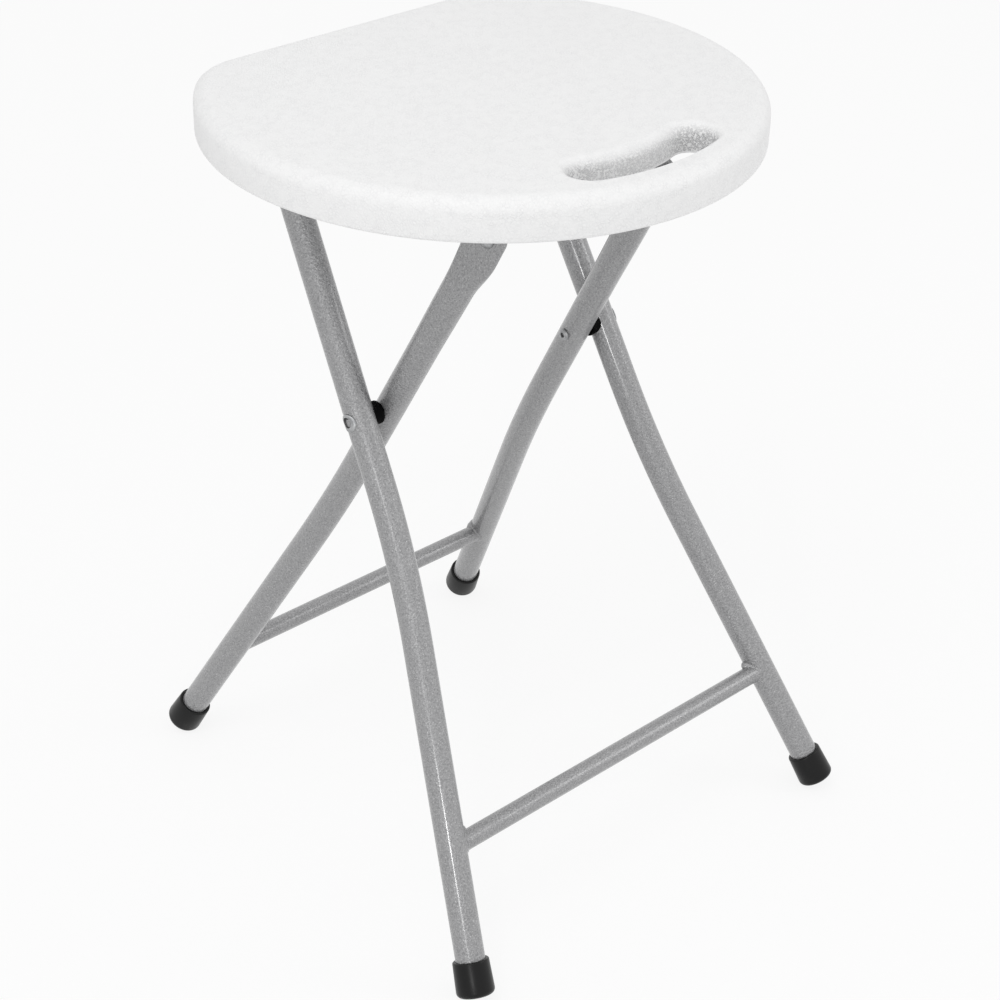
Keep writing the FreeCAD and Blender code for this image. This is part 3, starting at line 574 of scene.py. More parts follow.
@dataclass(frozen=True)
class Straight:
    """A straight stretch of a path."""

    offset: Point
    steps: int = 1


@dataclass(frozen=True)
class Bend:
    """A bent stretch of a path, turned by the right-hand rule about an axis."""

    centre: Point
    angle: float
    axis: Point = UP
    steps: int = 12


def beside(point: Point, x: float = 0.0, z: float = 0.0) -> Matrix:
    """A move to a place beside or above a point."""
    return Matrix.Translation(Vector(point) + Vector((x, 0.0, z)))


def edges_of(loop: Geometry) -> list[bmesh.types.BMEdge]:
    """The edges among some geometry."""
    return [item for item in loop if isinstance(item, bmesh.types.BMEdge)]


def verts_of(loop: Geometry) -> list[bmesh.types.BMVert]:
    """The vertices among some geometry."""
    return [item for item in loop if isinstance(item, bmesh.types.BMVert)]


def with_edges(verts: Sequence[bmesh.types.BMVert]) -> Geometry:
    """Vertices together with their edges, in the same order in every run."""
    return [*verts, *dict.fromkeys(edge for vert in verts for edge in vert.link_edges)]


class Workpiece:
    """One mesh in the making."""

    def __init__(self) -> None:
        """Start with an empty mesh."""
        self.mesh = bmesh.new()

    def ring(self, radius: float, place: Matrix, segments: int = 40) -> Geometry:
        """Lay an open circle of edges.

        Args:
            radius: The circle's radius.
            place: Where it lies; the circle is in the local XY plane.
            segments: Number of edges.

        Returns:
            Its vertices and edges.
        """
        return with_edges(bmesh.ops.create_circle(self.mesh, cap_ends=False, segments=segments,
                                                  radius=radius, matrix=place)["verts"])

    def strip(self, corners: Sequence[Sequence[float]]) -> Geometry:
        """Lay a closed loop of straight edges through some corners."""
        verts = [self.mesh.verts.new(corner) for corner in corners]
        edges = [self.mesh.edges.new(pair) for pair in zip(verts, verts[1:] + verts[:1])]
        return [*verts, *edges]

    def sweep(self, start: Geometry, steps: int, angle: float = 0.0, axis: Point = UP,
              centre: Point = ORIGIN, step: Point = ORIGIN, closed: bool = False) -> Geometry:
        """Draw vertices or edges round an axis or along a line.

        Args:
            start: What is drawn along.
            steps: Number of steps.
            angle: The whole turn.
            axis: The axis that it turns about.
            centre: A point of the axis.
            step: The move of each step.
            closed: Whether the far end meets the start.

        Returns:
            The geometry at the far end.
        """
        return bmesh.ops.spin(self.mesh, geom=start, cent=centre, axis=axis, dvec=step, angle=angle,
                              steps=steps, use_merge=closed, use_duplicate=False)["geom_last"]

    def follow(self, start: Geometry, path: Sequence[Straight | Bend]) -> Geometry:
        """Draw vertices or edges along the stretches of a path and return the far end."""
        last = start
        for stretch in path:
            if isinstance(stretch, Bend):
                last = self.sweep(last, stretch.steps, stretch.angle, stretch.axis, stretch.centre)
            else:
                last = self.sweep(last, stretch.steps, step=Vector(stretch.offset) / stretch.steps)
        return last

    def outline(self, start: Sequence[float], path: Sequence[Straight | Bend]) -> Geometry:
        """Draw a closed outline with one vertex that comes back to where it began.

        Args:
            start: The outline's first point.
            path: The stretches, in order.

        Returns:
            The outline's vertices and edges.
        """
        before = set(self.mesh.verts)
        self.follow([self.mesh.verts.new(start)], path)
        return with_edges(self._made_since(before, 1e-5))

    def prism(self, start: Sequence[float], path: Sequence[Straight | Bend], width: float) -> None:
        """Draw a closed outline and stretch it along X to a solid.

        Args:
            start: The outline's first point.
            path: The outline's stretches.
            width: Length of the solid along X.
        """
        near = self.outline(start, path)
        far = self.follow(near, [Straight((width, 0.0, 0.0))])
        self.cap(near)
        self.cap(far)

    def turned(self, corners: Sequence[tuple[float, float, float]], place: Matrix,
               segments: int = 64) -> list[bmesh.types.BMVert]:
        """Spin an outline round the local Z axis of a place.

        Args:
            corners: Corners as (radius, height, rounding), from one end to the other.
            place: Where the axis stands.
            segments: Steps of the full turn.

        Returns:
            The vertices made.
        """
        before = set(self.mesh.verts)
        chain = [self.mesh.verts.new((radius, 0.0, height)) for radius, height, _ in corners]
        for pair in zip(chain, chain[1:]):
            self.mesh.edges.new(pair)
        for vert, (_, _, rounding) in zip(chain, corners):
            if rounding:
                self.bevel([vert], rounding, 5, affect="VERTICES")
        self.sweep(with_edges(self._made_since(before)), segments, math.tau, closed=True)
        made = self._made_since(before, 1e-6)
        self.place(place, made)
        return made

    def bridge(self, *loops: Geometry) -> None:
        """Join stacked loops, one to the next, with strips of faces, and fill between level ones."""
        for pair in zip(loops, loops[1:]):
            heights = [vert.co.z for loop in pair for vert in verts_of(loop)]
            if max(heights) - min(heights) < 1e-6:
                self.fill(*pair)
            else:
                bmesh.ops.bridge_loops(self.mesh, edges=[*edges_of(pair[0]), *edges_of(pair[1])])

    def fill(self, *loops: Geometry) -> None:
        """Close flat loops with faces, the first being the outer one and the rest holes in it."""
        edges = [edge for loop in loops for edge in edges_of(loop)]
        bmesh.ops.triangle_fill(self.mesh, use_beauty=True, use_dissolve=False, edges=edges)

    def cap(self, loop: Geometry) -> None:
        """Close one loop with a single face."""
        bmesh.ops.holes_fill(self.mesh, edges=edges_of(loop))

    def place(self, matrix: Matrix, verts: Sequence[bmesh.types.BMVert] | None = None) -> None:
        """Move all vertices, or some, by a matrix."""
        chosen = self.mesh.verts[:] if verts is None else list(verts)
        bmesh.ops.transform(self.mesh, matrix=matrix, verts=chosen)

    def _made_since(self, before: set[bmesh.types.BMVert], merge: float = 0.0) -> list[bmesh.types.BMVert]:
        """The vertices that weren't there before, with those closer than a distance merged."""
        if merge:
            bmesh.ops.remove_doubles(self.mesh, verts=self._made_since(before), dist=merge)
        return [vert for vert in self.mesh.verts if vert not in before]

    def bevel(self, geometry: Geometry, size: float, segments: int, affect: str = "EDGES",
              clamp: bool = False) -> None:
        """Round some edges or corners."""
        bmesh.ops.bevel(self.mesh, geom=geometry, offset=size, affect=affect, segments=segments, profile=0.5,
                        material=-1, clamp_overlap=clamp)

    def soften(self, size: float, angle: float = 50.0, segments: int = 2) -> None:
        """Bevel every edge that is sharper than an angle in degrees."""
        sharp = [edge for edge in self.mesh.edges
                 if len(edge.link_faces) == 2 and edge.calc_face_angle(0.0) > math.radians(angle)]
        self.bevel(sharp, size, segments, clamp=True)

    def finish(self, name: str, palette: Palette, slot: Slot, body: Body, nodes: Sequence[str] = (),
               crease: float = 34.0) -> bpy.types.Object:
        """Turn the mesh into a smooth-shaded piece that rides on a body.

        Args:
            name: The piece's name.
            palette: The materials.
            slot: The record's slot, which names its material.
            body: The body that it rides on.
            nodes: The frame's nodes that it stands for.
            crease: Degrees past which an edge stays sharp.

        Returns:
            The piece.
        """
        bmesh.ops.remove_doubles(self.mesh, verts=self.mesh.verts[:], dist=1e-6)
        bmesh.ops.recalc_face_normals(self.mesh, faces=self.mesh.faces[:])
        for face in self.mesh.faces:
            face.smooth = True
        for edge in self.mesh.edges:
            edge.smooth = len(edge.link_faces) == 2 and edge.calc_face_angle(0.0) < math.radians(crease)
        data = bpy.data.meshes.new(name)
        self.mesh.to_mesh(data)
        self.mesh.free()
        data.materials.append(palette.materials[slot])
        piece = add_object(name, data)
        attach(piece, body.value)
        if nodes:
            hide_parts(*nodes)
        log.info("made %s with %d faces", name, len(data.polygons))
        return piece


# The two frames

def joint_place(name: str) -> Vector:
    """The point that a joint turns about."""
    return Vector(next(joint["pos_m"] for joint in frame["joints"] if joint["name"] == name))


@dataclass(frozen=True)
class LegPlan:
    """The plan of one frame, in the flat plane that its legs lie in.

    X runs across the stool and Y up along the legs from the pivot. Z is square to the plane.
    """

    body: Body
    pivot_half: float
    foot_half: float
    bend_drop: float
    upper_splay: float
    sign: int
    foot_spread: float = 0.1534
    leg_radius: float = 0.00825
    leg_wall: float = 0.0012
    bend_radius: float = 0.6
    bar_radius: float = 0.0055
    bar_height: float = 0.073

    @property
    def pivot(self) -> Vector:
        """The crossing point of the two frames."""
        return joint_place("leg_fold")

    @property
    def lean(self) -> float:
        """Angle of the plane from upright."""
        return math.atan2(self.foot_spread + self.sign * self.pivot.y, self.pivot.z)

    @property
    def plane(self) -> Matrix:
        """From the frame's plane to the stool."""
        return Matrix.Translation(self.pivot) @ Matrix.Rotation(math.pi / 2 - self.sign * self.lean, 4, "X")

    @property
    def floor_run(self) -> float:
        """Distance along the plane from the pivot to the floor."""
        return self.pivot.z / math.cos(self.lean)

    @property
    def bend_half(self) -> float:
        """Half width where the two straight stretches of a leg would meet."""
        return self.pivot_half + self.bend_drop * math.tan(self.upper_splay)

    @property
    def splay(self) -> float:
        """Outward angle of the lower legs."""
        return math.atan2(self.foot_half - self.bend_half, self.floor_run - self.bend_drop)

    @property
    def bar_run(self) -> float:
        """Distance down the plane from the pivot to the cross bar."""
        return (self.pivot.z - self.bar_height) / math.cos(self.lean)

    @property
    def bar_half(self) -> float:
        """Half width of the legs' centre lines at the cross bar."""
        return self.foot_half - (self.floor_run - self.bar_run) * math.tan(self.splay)

    @property
    def tilt(self) -> float:
        """Angle of a lower leg from upright."""
        return math.acos(math.cos(self.splay) * math.cos(self.lean))

    def half_at(self, height: float) -> float:
        """Half width of the upper legs at a height above the pivot."""
        return self.pivot_half - height * math.tan(self.upper_splay)

    def leg_point(self, along: float) -> Vector:
        """A point of the right leg's centre line, measured up from the floor."""
        return Vector((self.foot_half - along * math.sin(self.splay),
                       -self.floor_run + along * math.cos(self.splay), 0.0))

    def leg_place(self, along: float) -> Matrix:
        """A place on the right leg, in the plane, whose Z axis points up the leg."""
        upright = Matrix.Rotation(self.splay, 4, "Z") @ Matrix.Rotation(-math.pi / 2, 4, "X")
        return Matrix.Translation(self.leg_point(along)) @ upright

    def bend_points(self) -> tuple[Vector, Vector, Vector]:
        """The upper and lower ends and the centre of the right leg's gentle bend."""
        upper, splay = self.upper_splay, self.splay
        reach = self.bend_radius * math.tan((splay - upper) / 2)
        corner = Vector((self.bend_half, -self.bend_drop, 0.0))
        start = corner + reach * Vector((-math.sin(upper), math.cos(upper), 0.0))
        finish = corner + reach * Vector((math.sin(splay), -math.cos(splay), 0.0))
        centre = start + self.bend_radius * Vector((math.cos(upper), math.sin(upper), 0.0))
        return start, finish, centre

    def onto(self, side: Side) -> Matrix:
        """From the plane's right half to one side of the stool."""
        return self.plane @ Matrix.Scale(side.value, 4, (1.0, 0.0, 0.0))


OUTER_LEGS = LegPlan(Body.OUTER, pivot_half=0.0908, foot_half=0.1429, bend_drop=0.082,
                     upper_splay=math.radians(2.7), sign=1)
INNER_LEGS = LegPlan(Body.INNER, pivot_half=0.0694, foot_half=0.1188, bend_drop=0.0874,
                     upper_splay=math.radians(3.0), sign=-1)
ROD_HEIGHT = 0.397


@dataclass
class FootCap:
    """A rubber cup pushed over the end of a leg."""

    length: float = 0.0196
    wall: float = 0.00255
    taper: float = 0.0007
    sole: float = 0.004
    rounding: float = 0.003
    rim_round: float = 0.0009
    edge_round: float = 0.0005
    tread_radius: float = 0.0062
    tread_depth: float = 0.0008
    tread_half: float = 0.00035
    tread_round: float = 0.0002

    def lift(self, plan: LegPlan) -> float:
        """How far up the leg the sole's middle stands, so that its rounded edge meets the floor."""
        radius = plan.leg_radius + self.wall
        return (self.rounding * (1 - math.cos(plan.tilt))
                + (radius - self.rounding) * math.sin(plan.tilt)) / math.cos(plan.tilt)

    def build(self, plan: LegPlan, side: Side, node: str, palette: Palette) -> None:
        """Make one cap.

        Args:
            plan: The frame that it stands under.
            side: Which leg.
            node: The node that it stands for.
            palette: The materials.
        """
        radius, tread = plan.leg_radius + self.wall, self.tread_radius
        half, soft = self.tread_half, self.tread_round
        corners = [
            (0.0, 0.0, 0.0), (tread - half, 0.0, soft), (tread - half / 2, self.tread_depth, soft / 2),
            (tread + half / 2, self.tread_depth, soft / 2), (tread + half, 0.0, soft),
            (radius, 0.0, self.rounding), (radius - self.taper, self.length, self.rim_round),
            (plan.leg_radius, self.length, self.edge_round), (plan.leg_radius, self.sole, self.edge_round),
            (0.0, self.sole, 0.0)]
        work = Workpiece()
        work.turned(corners, plan.leg_place(self.lift(plan)), segments=56)
        work.place(plan.onto(side))
        work.finish(f"cap_{node}", palette, Slot.FEET, plan.body, [node])


@dataclass
class CrossBar:
    """A frame's cross bar, coped to the legs, with a weld at each end."""

    plan: LegPlan
    palette: Palette
    segments: int = 36
    steps: int = 16
    bead_segments: int = 12
    weld_steps: int = 96
    bite: float = 0.0006
    bead: float = 0.0010
    nugget: float = 0.0026
    nugget_spread: float = 0.55
    nugget_aim: Point = (0.0, 0.67, 0.74)
    ripples: int = 19
    ripple_size: float = 0.12
    waves: int = 3
    wave_sizes: tuple[float, float] = (0.04, 0.10)

    def leg_face(self, y: float, z: float) -> float:
        """Half width of the leg's inner face at a point of the plane."""
        plan = self.plan
        centre = plan.bar_half - (y + plan.bar_run) * math.tan(plan.splay)
        reach = math.sqrt(max(plan.leg_radius ** 2 - z * z, 0.0))
        return centre - reach / math.cos(plan.splay)

    def build(self, node: str, seed: int) -> None:
        """Make the bar and its welds.

        Args:
            node: The node that the bar stands for.
            seed: Seed of the welds' unevenness.
        """
        plan, work = self.plan, Workpiece()
        half = plan.bar_half - plan.leg_radius
        start = Matrix.Translation((-half, -plan.bar_run, 0.0)) @ Z_TO_X
        near = work.ring(plan.bar_radius, start, self.segments)
        far = work.follow(near, [Straight((2 * half, 0.0, 0.0), self.steps)])
        for sign, rim in ((-1, near), (1, far)):
            for vert in verts_of(rim):
                vert.co.x = sign * (self.leg_face(vert.co.y, vert.co.z) + self.bite)
            work.cap(rim)
        work.place(plan.plane)
        work.finish(f"bar_{node}", self.palette, Slot.FRAME, plan.body, [node])
        for side in Side:
            self._weld(side, f"weld_{node}_{side.word}", seed + side.value)

    def _weld(self, side: Side, name: str, seed: int) -> None:
        """Make one weld: a rippled bead round the bar's end that swells to a nugget on top."""
        plan, work = self.plan, Workpiece()
        shaker = random.Random(seed)
        waves = [(shaker.uniform(0.0, math.tau), shaker.uniform(*self.wave_sizes))
                 for _ in range(self.waves)]
        aim = plan.plane.to_3x3().inverted() @ Vector(self.nugget_aim)
        top = math.atan2(aim.z, aim.y)
        section = work.ring(self.bead, Matrix.Translation((0.0, plan.bar_radius, 0.0)), self.bead_segments)
        work.sweep(section, self.weld_steps, math.tau, ACROSS, closed=True)
        for vert in work.mesh.verts:
            angle = math.atan2(vert.co.z, vert.co.y)
            off = abs((angle - top + math.pi) % math.tau - math.pi)
            swell = self.nugget / self.bead * math.exp(-(off / self.nugget_spread) ** 2)
            wave = sum(size * math.sin((2 + index) * angle + phase)
                       for index, (phase, size) in enumerate(waves))
            scale = 1.0 + swell + wave + self.ripple_size * abs(math.sin(self.ripples * angle / 2))
            radius = plan.bar_radius + (math.hypot(vert.co.y, vert.co.z) - plan.bar_radius) * scale
            y, z = radius * math.cos(angle) - plan.bar_run, radius * math.sin(angle)
            vert.co = (self.leg_face(y, z) + vert.co.x * scale, y, z)
        work.place(plan.onto(side))
        work.finish(name, self.palette, Slot.FRAME, plan.body, crease=80.0)


@dataclass
class OuterFrame:
    """The outer frame: one tube bent to two legs and a top bar, with its cross bar and caps."""

    palette: Palette
    corner_radius: float = 0.032
    segments: int = 44
    plan: LegPlan = OUTER_LEGS

    def build(self) -> None:
        """Make the frame's pieces."""
        self._tube()
        CrossBar(self.plan, self.palette).build("outer_stretcher", seed=11)
        for side in Side:
            FootCap().build(self.plan, side, f"outer_foot_{side.word}", self.palette)

    def _tube(self) -> None:
        """Sweep the tube from the middle of the top bar down the right leg, and mirror it."""
        plan, work, cap = self.plan, Workpiece(), FootCap()
        top = (joint_place("seat_lift").z - plan.pivot.z) / math.cos(plan.lean)
        turn = math.pi / 2 - plan.upper_splay
        reach = self.corner_radius * math.tan(turn / 2)
        corner = plan.half_at(top)
        bend_start, bend_end, bend_centre = plan.bend_points()
        corner_end = Vector((corner, top, 0.0)) + reach * Vector((math.sin(plan.upper_splay),
                                                                  -math.cos(plan.upper_splay), 0.0))
        leg_end = plan.leg_point(cap.lift(plan) + cap.sole)
        start = Matrix.Translation((0.0, top, 0.0)) @ Z_TO_X
        work.follow(work.ring(plan.leg_radius, start, self.segments), [
            Straight((corner - reach, 0.0, 0.0), 8),
            Bend((corner - reach, top - self.corner_radius, 0.0), -turn, steps=20),
            Straight(bend_start - corner_end, 16),
            Bend(bend_centre, plan.splay - plan.upper_splay, steps=18),
            Straight(leg_end - bend_end, 18)])
        half = [*work.mesh.verts, *work.mesh.edges, *work.mesh.faces]
        bmesh.ops.mirror(work.mesh, geom=half, matrix=Matrix.Identity(4), merge_dist=1e-6, axis="X")
        bmesh.ops.recalc_face_normals(work.mesh, faces=work.mesh.faces[:])
        bmesh.ops.solidify(work.mesh, geom=work.mesh.faces[:], thickness=plan.leg_wall)
        work.place(plan.plane)
        work.finish("frame_outer_tube", self.palette, Slot.FRAME, plan.body, ["outer_tube"])


@dataclass
class InnerFrame:
    """The inner frame: two legs with flattened tops, the cross bar, the top rod and the caps."""

    palette: Palette
    flat_length: float = 0.0107
    flare_length: float = 0.029
    taper_length: float = 0.053
    middle_size: tuple[float, float] = (0.0178, 0.0146)
    flat_size: tuple[float, float] = (0.0246, 0.0030)
    tab_end: float = 0.009
    tab_corner: float = 0.005
    rod_radius: float = 0.004
    rod_head_radius: float = 0.00625
    rod_head_height: float = 0.0026
    rod_neck: float = 0.003
    rod_dome: tuple[tuple[float, float, float], ...] = ((0.86, 0.62, 0.0012), (0.30, 1.0, 0.0008))
    segments: int = 44
    rings: int = 34
    tab_steps: int = 6
    side_reach: float = 3.0
    plan: LegPlan = INNER_LEGS

    @property
    def rod_run(self) -> float:
        """Distance up the plane from the pivot to the top rod."""
        return (ROD_HEIGHT - self.plan.pivot.z) / math.cos(self.plan.lean)

    @property
    def flat_start(self) -> float:
        """Distance up the plane to where the leg is flat."""
        return self.rod_run - self.flat_length

    @property
    def taper_start(self) -> float:
        """Distance up the plane to where the leg stops being round."""
        return self.flat_start - self.flare_length - self.taper_length

    def build(self) -> None:
        """Make the frame's pieces."""
        for side in Side:
            self._leg(side)
            FootCap().build(self.plan, side, f"inner_foot_{side.word}", self.palette)
        CrossBar(self.plan, self.palette).build("inner_stretcher", seed=23)
        self._rod()

    def _section(self, height: float) -> tuple[float, float, float]:
        """Width, depth and middle of the squashed leg at a height above the pivot."""
        def ease(start: float, finish: float) -> float:
            share = min(max((height - start) / (finish - start), 0.0), 1.0)
            return share * share * (3 - 2 * share)

        flare_start = self.flat_start - self.flare_length
        early, late = ease(self.taper_start, flare_start), ease(flare_start, self.flat_start)
        width, depth = (2 * self.plan.leg_radius + (middle - 2 * self.plan.leg_radius) * early
                        + (flat - middle) * late for middle, flat in zip(self.middle_size, self.flat_size))
        straight = self.plan.half_at(height)
        return width, depth, straight + (self.plan.half_at(self.rod_run) - straight) * late

    def _stations(self) -> list[tuple[float, float]]:
        """Heights of the squashed leg's rings, with how much narrower each is than its section."""
        shoulder = self.rod_run + self.tab_end - self.tab_corner
        run = self.flat_start - self.taper_start
        rings = [(self.taper_start + run * step / self.rings, 0.0) for step in range(1, self.rings + 1)]
        rings += [(self.rod_run, 0.0), (shoulder, 0.0)]
        turns = [math.pi / 2 * step / self.tab_steps for step in range(1, self.tab_steps + 1)]
        return rings + [(shoulder + self.tab_corner * math.sin(turn),
                         2 * self.tab_corner * (1 - math.cos(turn))) for turn in turns]

    def _leg(self, side: Side) -> None:
        """Sweep a leg up from its foot, then press its top flat and round it off."""
        plan, work, cap = self.plan, Workpiece(), FootCap()
        foot = cap.lift(plan) + cap.sole
        bend_start, bend_end, bend_centre = plan.bend_points()
        top = Vector((plan.half_at(self.taper_start), self.taper_start, 0.0))
        bottom = work.ring(plan.leg_radius, plan.leg_place(foot), self.segments)
        last = work.follow(bottom, [
            Straight(bend_end - plan.leg_point(foot), 18),
            Bend(bend_centre, plan.upper_splay - plan.splay, steps=18),
            Straight(top - bend_start, 12)])
        angles = [turn for turn, _ in self._by_angle(last)]
        for height, narrower in self._stations():
            last = work.follow(last, [Straight((0.0, 0.001, 0.0))])
            width, depth, middle = self._section(height)
            spare = (width - narrower - depth) / 2
            for angle, (_, vert) in zip(angles, self._by_angle(last)):
                reach = max(-1.0, min(1.0, self.side_reach * math.sin(angle)))
                vert.co = (middle + depth / 2 * math.cos(angle), height,
                           depth / 2 * math.sin(angle) + spare * reach)
        work.cap(last)
        work.cap(bottom)
        work.place(plan.onto(side))
        work.finish(f"frame_inner_leg_{side.word}", self.palette, Slot.FRAME, plan.body,
                    [f"inner_leg_{side.word}"])

    @staticmethod
    def _by_angle(ring: Geometry) -> list[tuple[float, bmesh.types.BMVert]]:
        """A ring's vertices with their angles round its middle, in order."""
        verts = verts_of(ring)
        middle = sum((vert.co for vert in verts), Vector()) / len(verts)
        nudge = 0.01
        turned = [((math.atan2(vert.co.z, vert.co.x - middle.x) + nudge) % math.tau - nudge, vert)
                  for vert in verts]
        return sorted(turned, key=lambda item: item[0])

    def _rod(self) -> None:
        """Make the riveted top rod."""
        plan = self.plan
        half, thick = plan.half_at(self.rod_run), self.flat_size[1] / 2
        head, rise, neck = self.rod_head_radius, self.rod_head_height, self.rod_neck
        out = half + thick
        end = [(self.rod_radius, half - thick, 0.0004), (neck, half - thick, 0.0), (neck, out, 0.0),
               (head, out, 0.0004),
               *((head * wide, out + rise * high, rounding) for wide, high, rounding in self.rod_dome),
               (0.0, out + rise, 0.0)]
        corners = [(radius, -height, rounding) for radius, height, rounding in reversed(end)] + end
        centre = plan.plane @ Vector((0.0, self.rod_run, 0.0))
        work = Workpiece()
        work.turned(corners, Matrix.Translation(centre) @ Z_TO_X, segments=40)
        work.finish("rod_top", self.palette, Slot.STEEL, plan.body, ["top_rod"])


@dataclass
class Pivot:
    """The rivets and bushes where the two frames cross."""

    palette: Palette
    head_radius: float = 0.0051
    head_height: float = 0.0010
    skirt: float = 0.0006
    head_lap: float = 0.0006
    hollow_radius: float = 0.0027
    hollow_depth: float = 0.0011
    hollow_shift: float = 0.0005
    hollow_slope: tuple[float, float] = (0.0003, 0.0004)
    hollow_edge: float = 0.0007
    head_rim: tuple[float, float] = (0.0002, 0.0005)
    crown_share: float = 0.88
    shank_radius: float = 0.003
    curl_radius: float = 0.0036
    curl_height: float = 0.0016
    curl_taper: tuple[float, float] = (0.0011, 0.0008)
    bore_radius: float = 0.0014
    bore_depth: float = 0.004
    bush_radius: float = 0.0065
    bush_collar: float = 0.0022
    bush_step: float = 0.0003
    play: float = 0.0003
    bush_play: float = 0.0009
    wrap: float = 0.0025

    def axis(self, side: Side) -> Matrix:
        """The pivot's axis with Z pointing out of the stool on one side."""
        turn = Matrix.Rotation(side.value * math.pi / 2, 4, "Y")
        return Matrix.Translation(joint_place("leg_fold")) @ turn

    def build(self) -> None:
        """Make the rivet and the bush of both sides."""
        for side in Side:
            self._rivet(side)
            self._bush(side)

    def _rivet(self, side: Side) -> None:
        """Turn a rivet: a low head bent round the tube, with a hollow off its middle, and a rolled end."""
        face = OUTER_LEGS.pivot_half + OUTER_LEGS.leg_radius
        back = INNER_LEGS.pivot_half - INNER_LEGS.leg_radius - self.play
        head, crown, hollow = self.head_radius, face + self.head_height, self.hollow_radius
        tip, neck = back - self.curl_height, head - self.head_lap
        bore, curl = self.bore_radius, self.curl_radius
        curl_in, curl_up = self.curl_taper
        low, high = (face + rise for rise in self.head_rim)
        out, inward = self.hollow_slope
        under, floor = face - self.skirt, crown - self.hollow_depth
        corners = [
            (0.0, tip + self.bore_depth, 0.0), (bore, tip + self.bore_depth, 0.0004), (bore, tip, 0.0003),
            (curl - curl_in, tip, 0.0005), (curl, tip + curl_up, 0.0005), (curl, back, 0.0003),
            (self.shank_radius, back, 0.0), (self.shank_radius, under, 0.0), (neck, under, 0.0),
            (neck, low, 0.0001), (head, low, 0.00015), (head, high, 0.0002),
            (head * self.crown_share, crown, 0.0003), (hollow + out, crown, 0.0002),
            (hollow - inward, floor, 0.0003), (0.0, floor, 0.0)]
        work = Workpiece()
        work.turned(corners, Matrix.Identity(4), segments=48)
        across, along = math.cos(OUTER_LEGS.lean), side.value * math.sin(OUTER_LEGS.lean)
        for vert in (vert for vert in work.mesh.verts if vert.co.z > face - self.hollow_depth):
            off_axis = math.hypot(vert.co.x, vert.co.y)
            if vert.co.z > face - self.skirt / 2 and off_axis < hollow + self.hollow_edge:
                vert.co.x -= side.value * self.hollow_shift
                vert.co.y += self.hollow_shift / 2
            reach = vert.co.y * across + vert.co.x * along
            vert.co.z -= OUTER_LEGS.leg_radius - math.sqrt(OUTER_LEGS.leg_radius ** 2 - reach * reach)
        work.place(self.axis(side))
        work.finish(f"rivet_pivot_{side.word}", self.palette, Slot.STEEL, Body.OUTER,
                    [f"pivot_rivet_{side.word}"])

    def _bush(self, side: Side) -> None:
        """Turn the bush that keeps the crossing legs apart."""
        start = INNER_LEGS.pivot_half + INNER_LEGS.leg_radius + self.bush_play
        finish = OUTER_LEGS.pivot_half - OUTER_LEGS.leg_radius + self.wrap
        bore, radius, slim = self.shank_radius, self.bush_radius, self.bush_radius - self.bush_step
        collar = start + self.bush_collar
        corners = [(bore, start, 0.0003), (radius, start, 0.0009), (radius, collar, 0.0002),
                   (slim, collar + self.bush_step, 0.0002), (slim, finish, 0.0003), (bore, finish, 0.0003),
                   (bore, start, 0.0)]
        work = Workpiece()
        work.turned(corners, self.axis(side), segments=48)
        work.finish(f"bush_pivot_{side.word}", self.palette, Slot.FITTINGS, Body.OUTER,
                    [f"pivot_spacer_{side.word}"])


# The seat

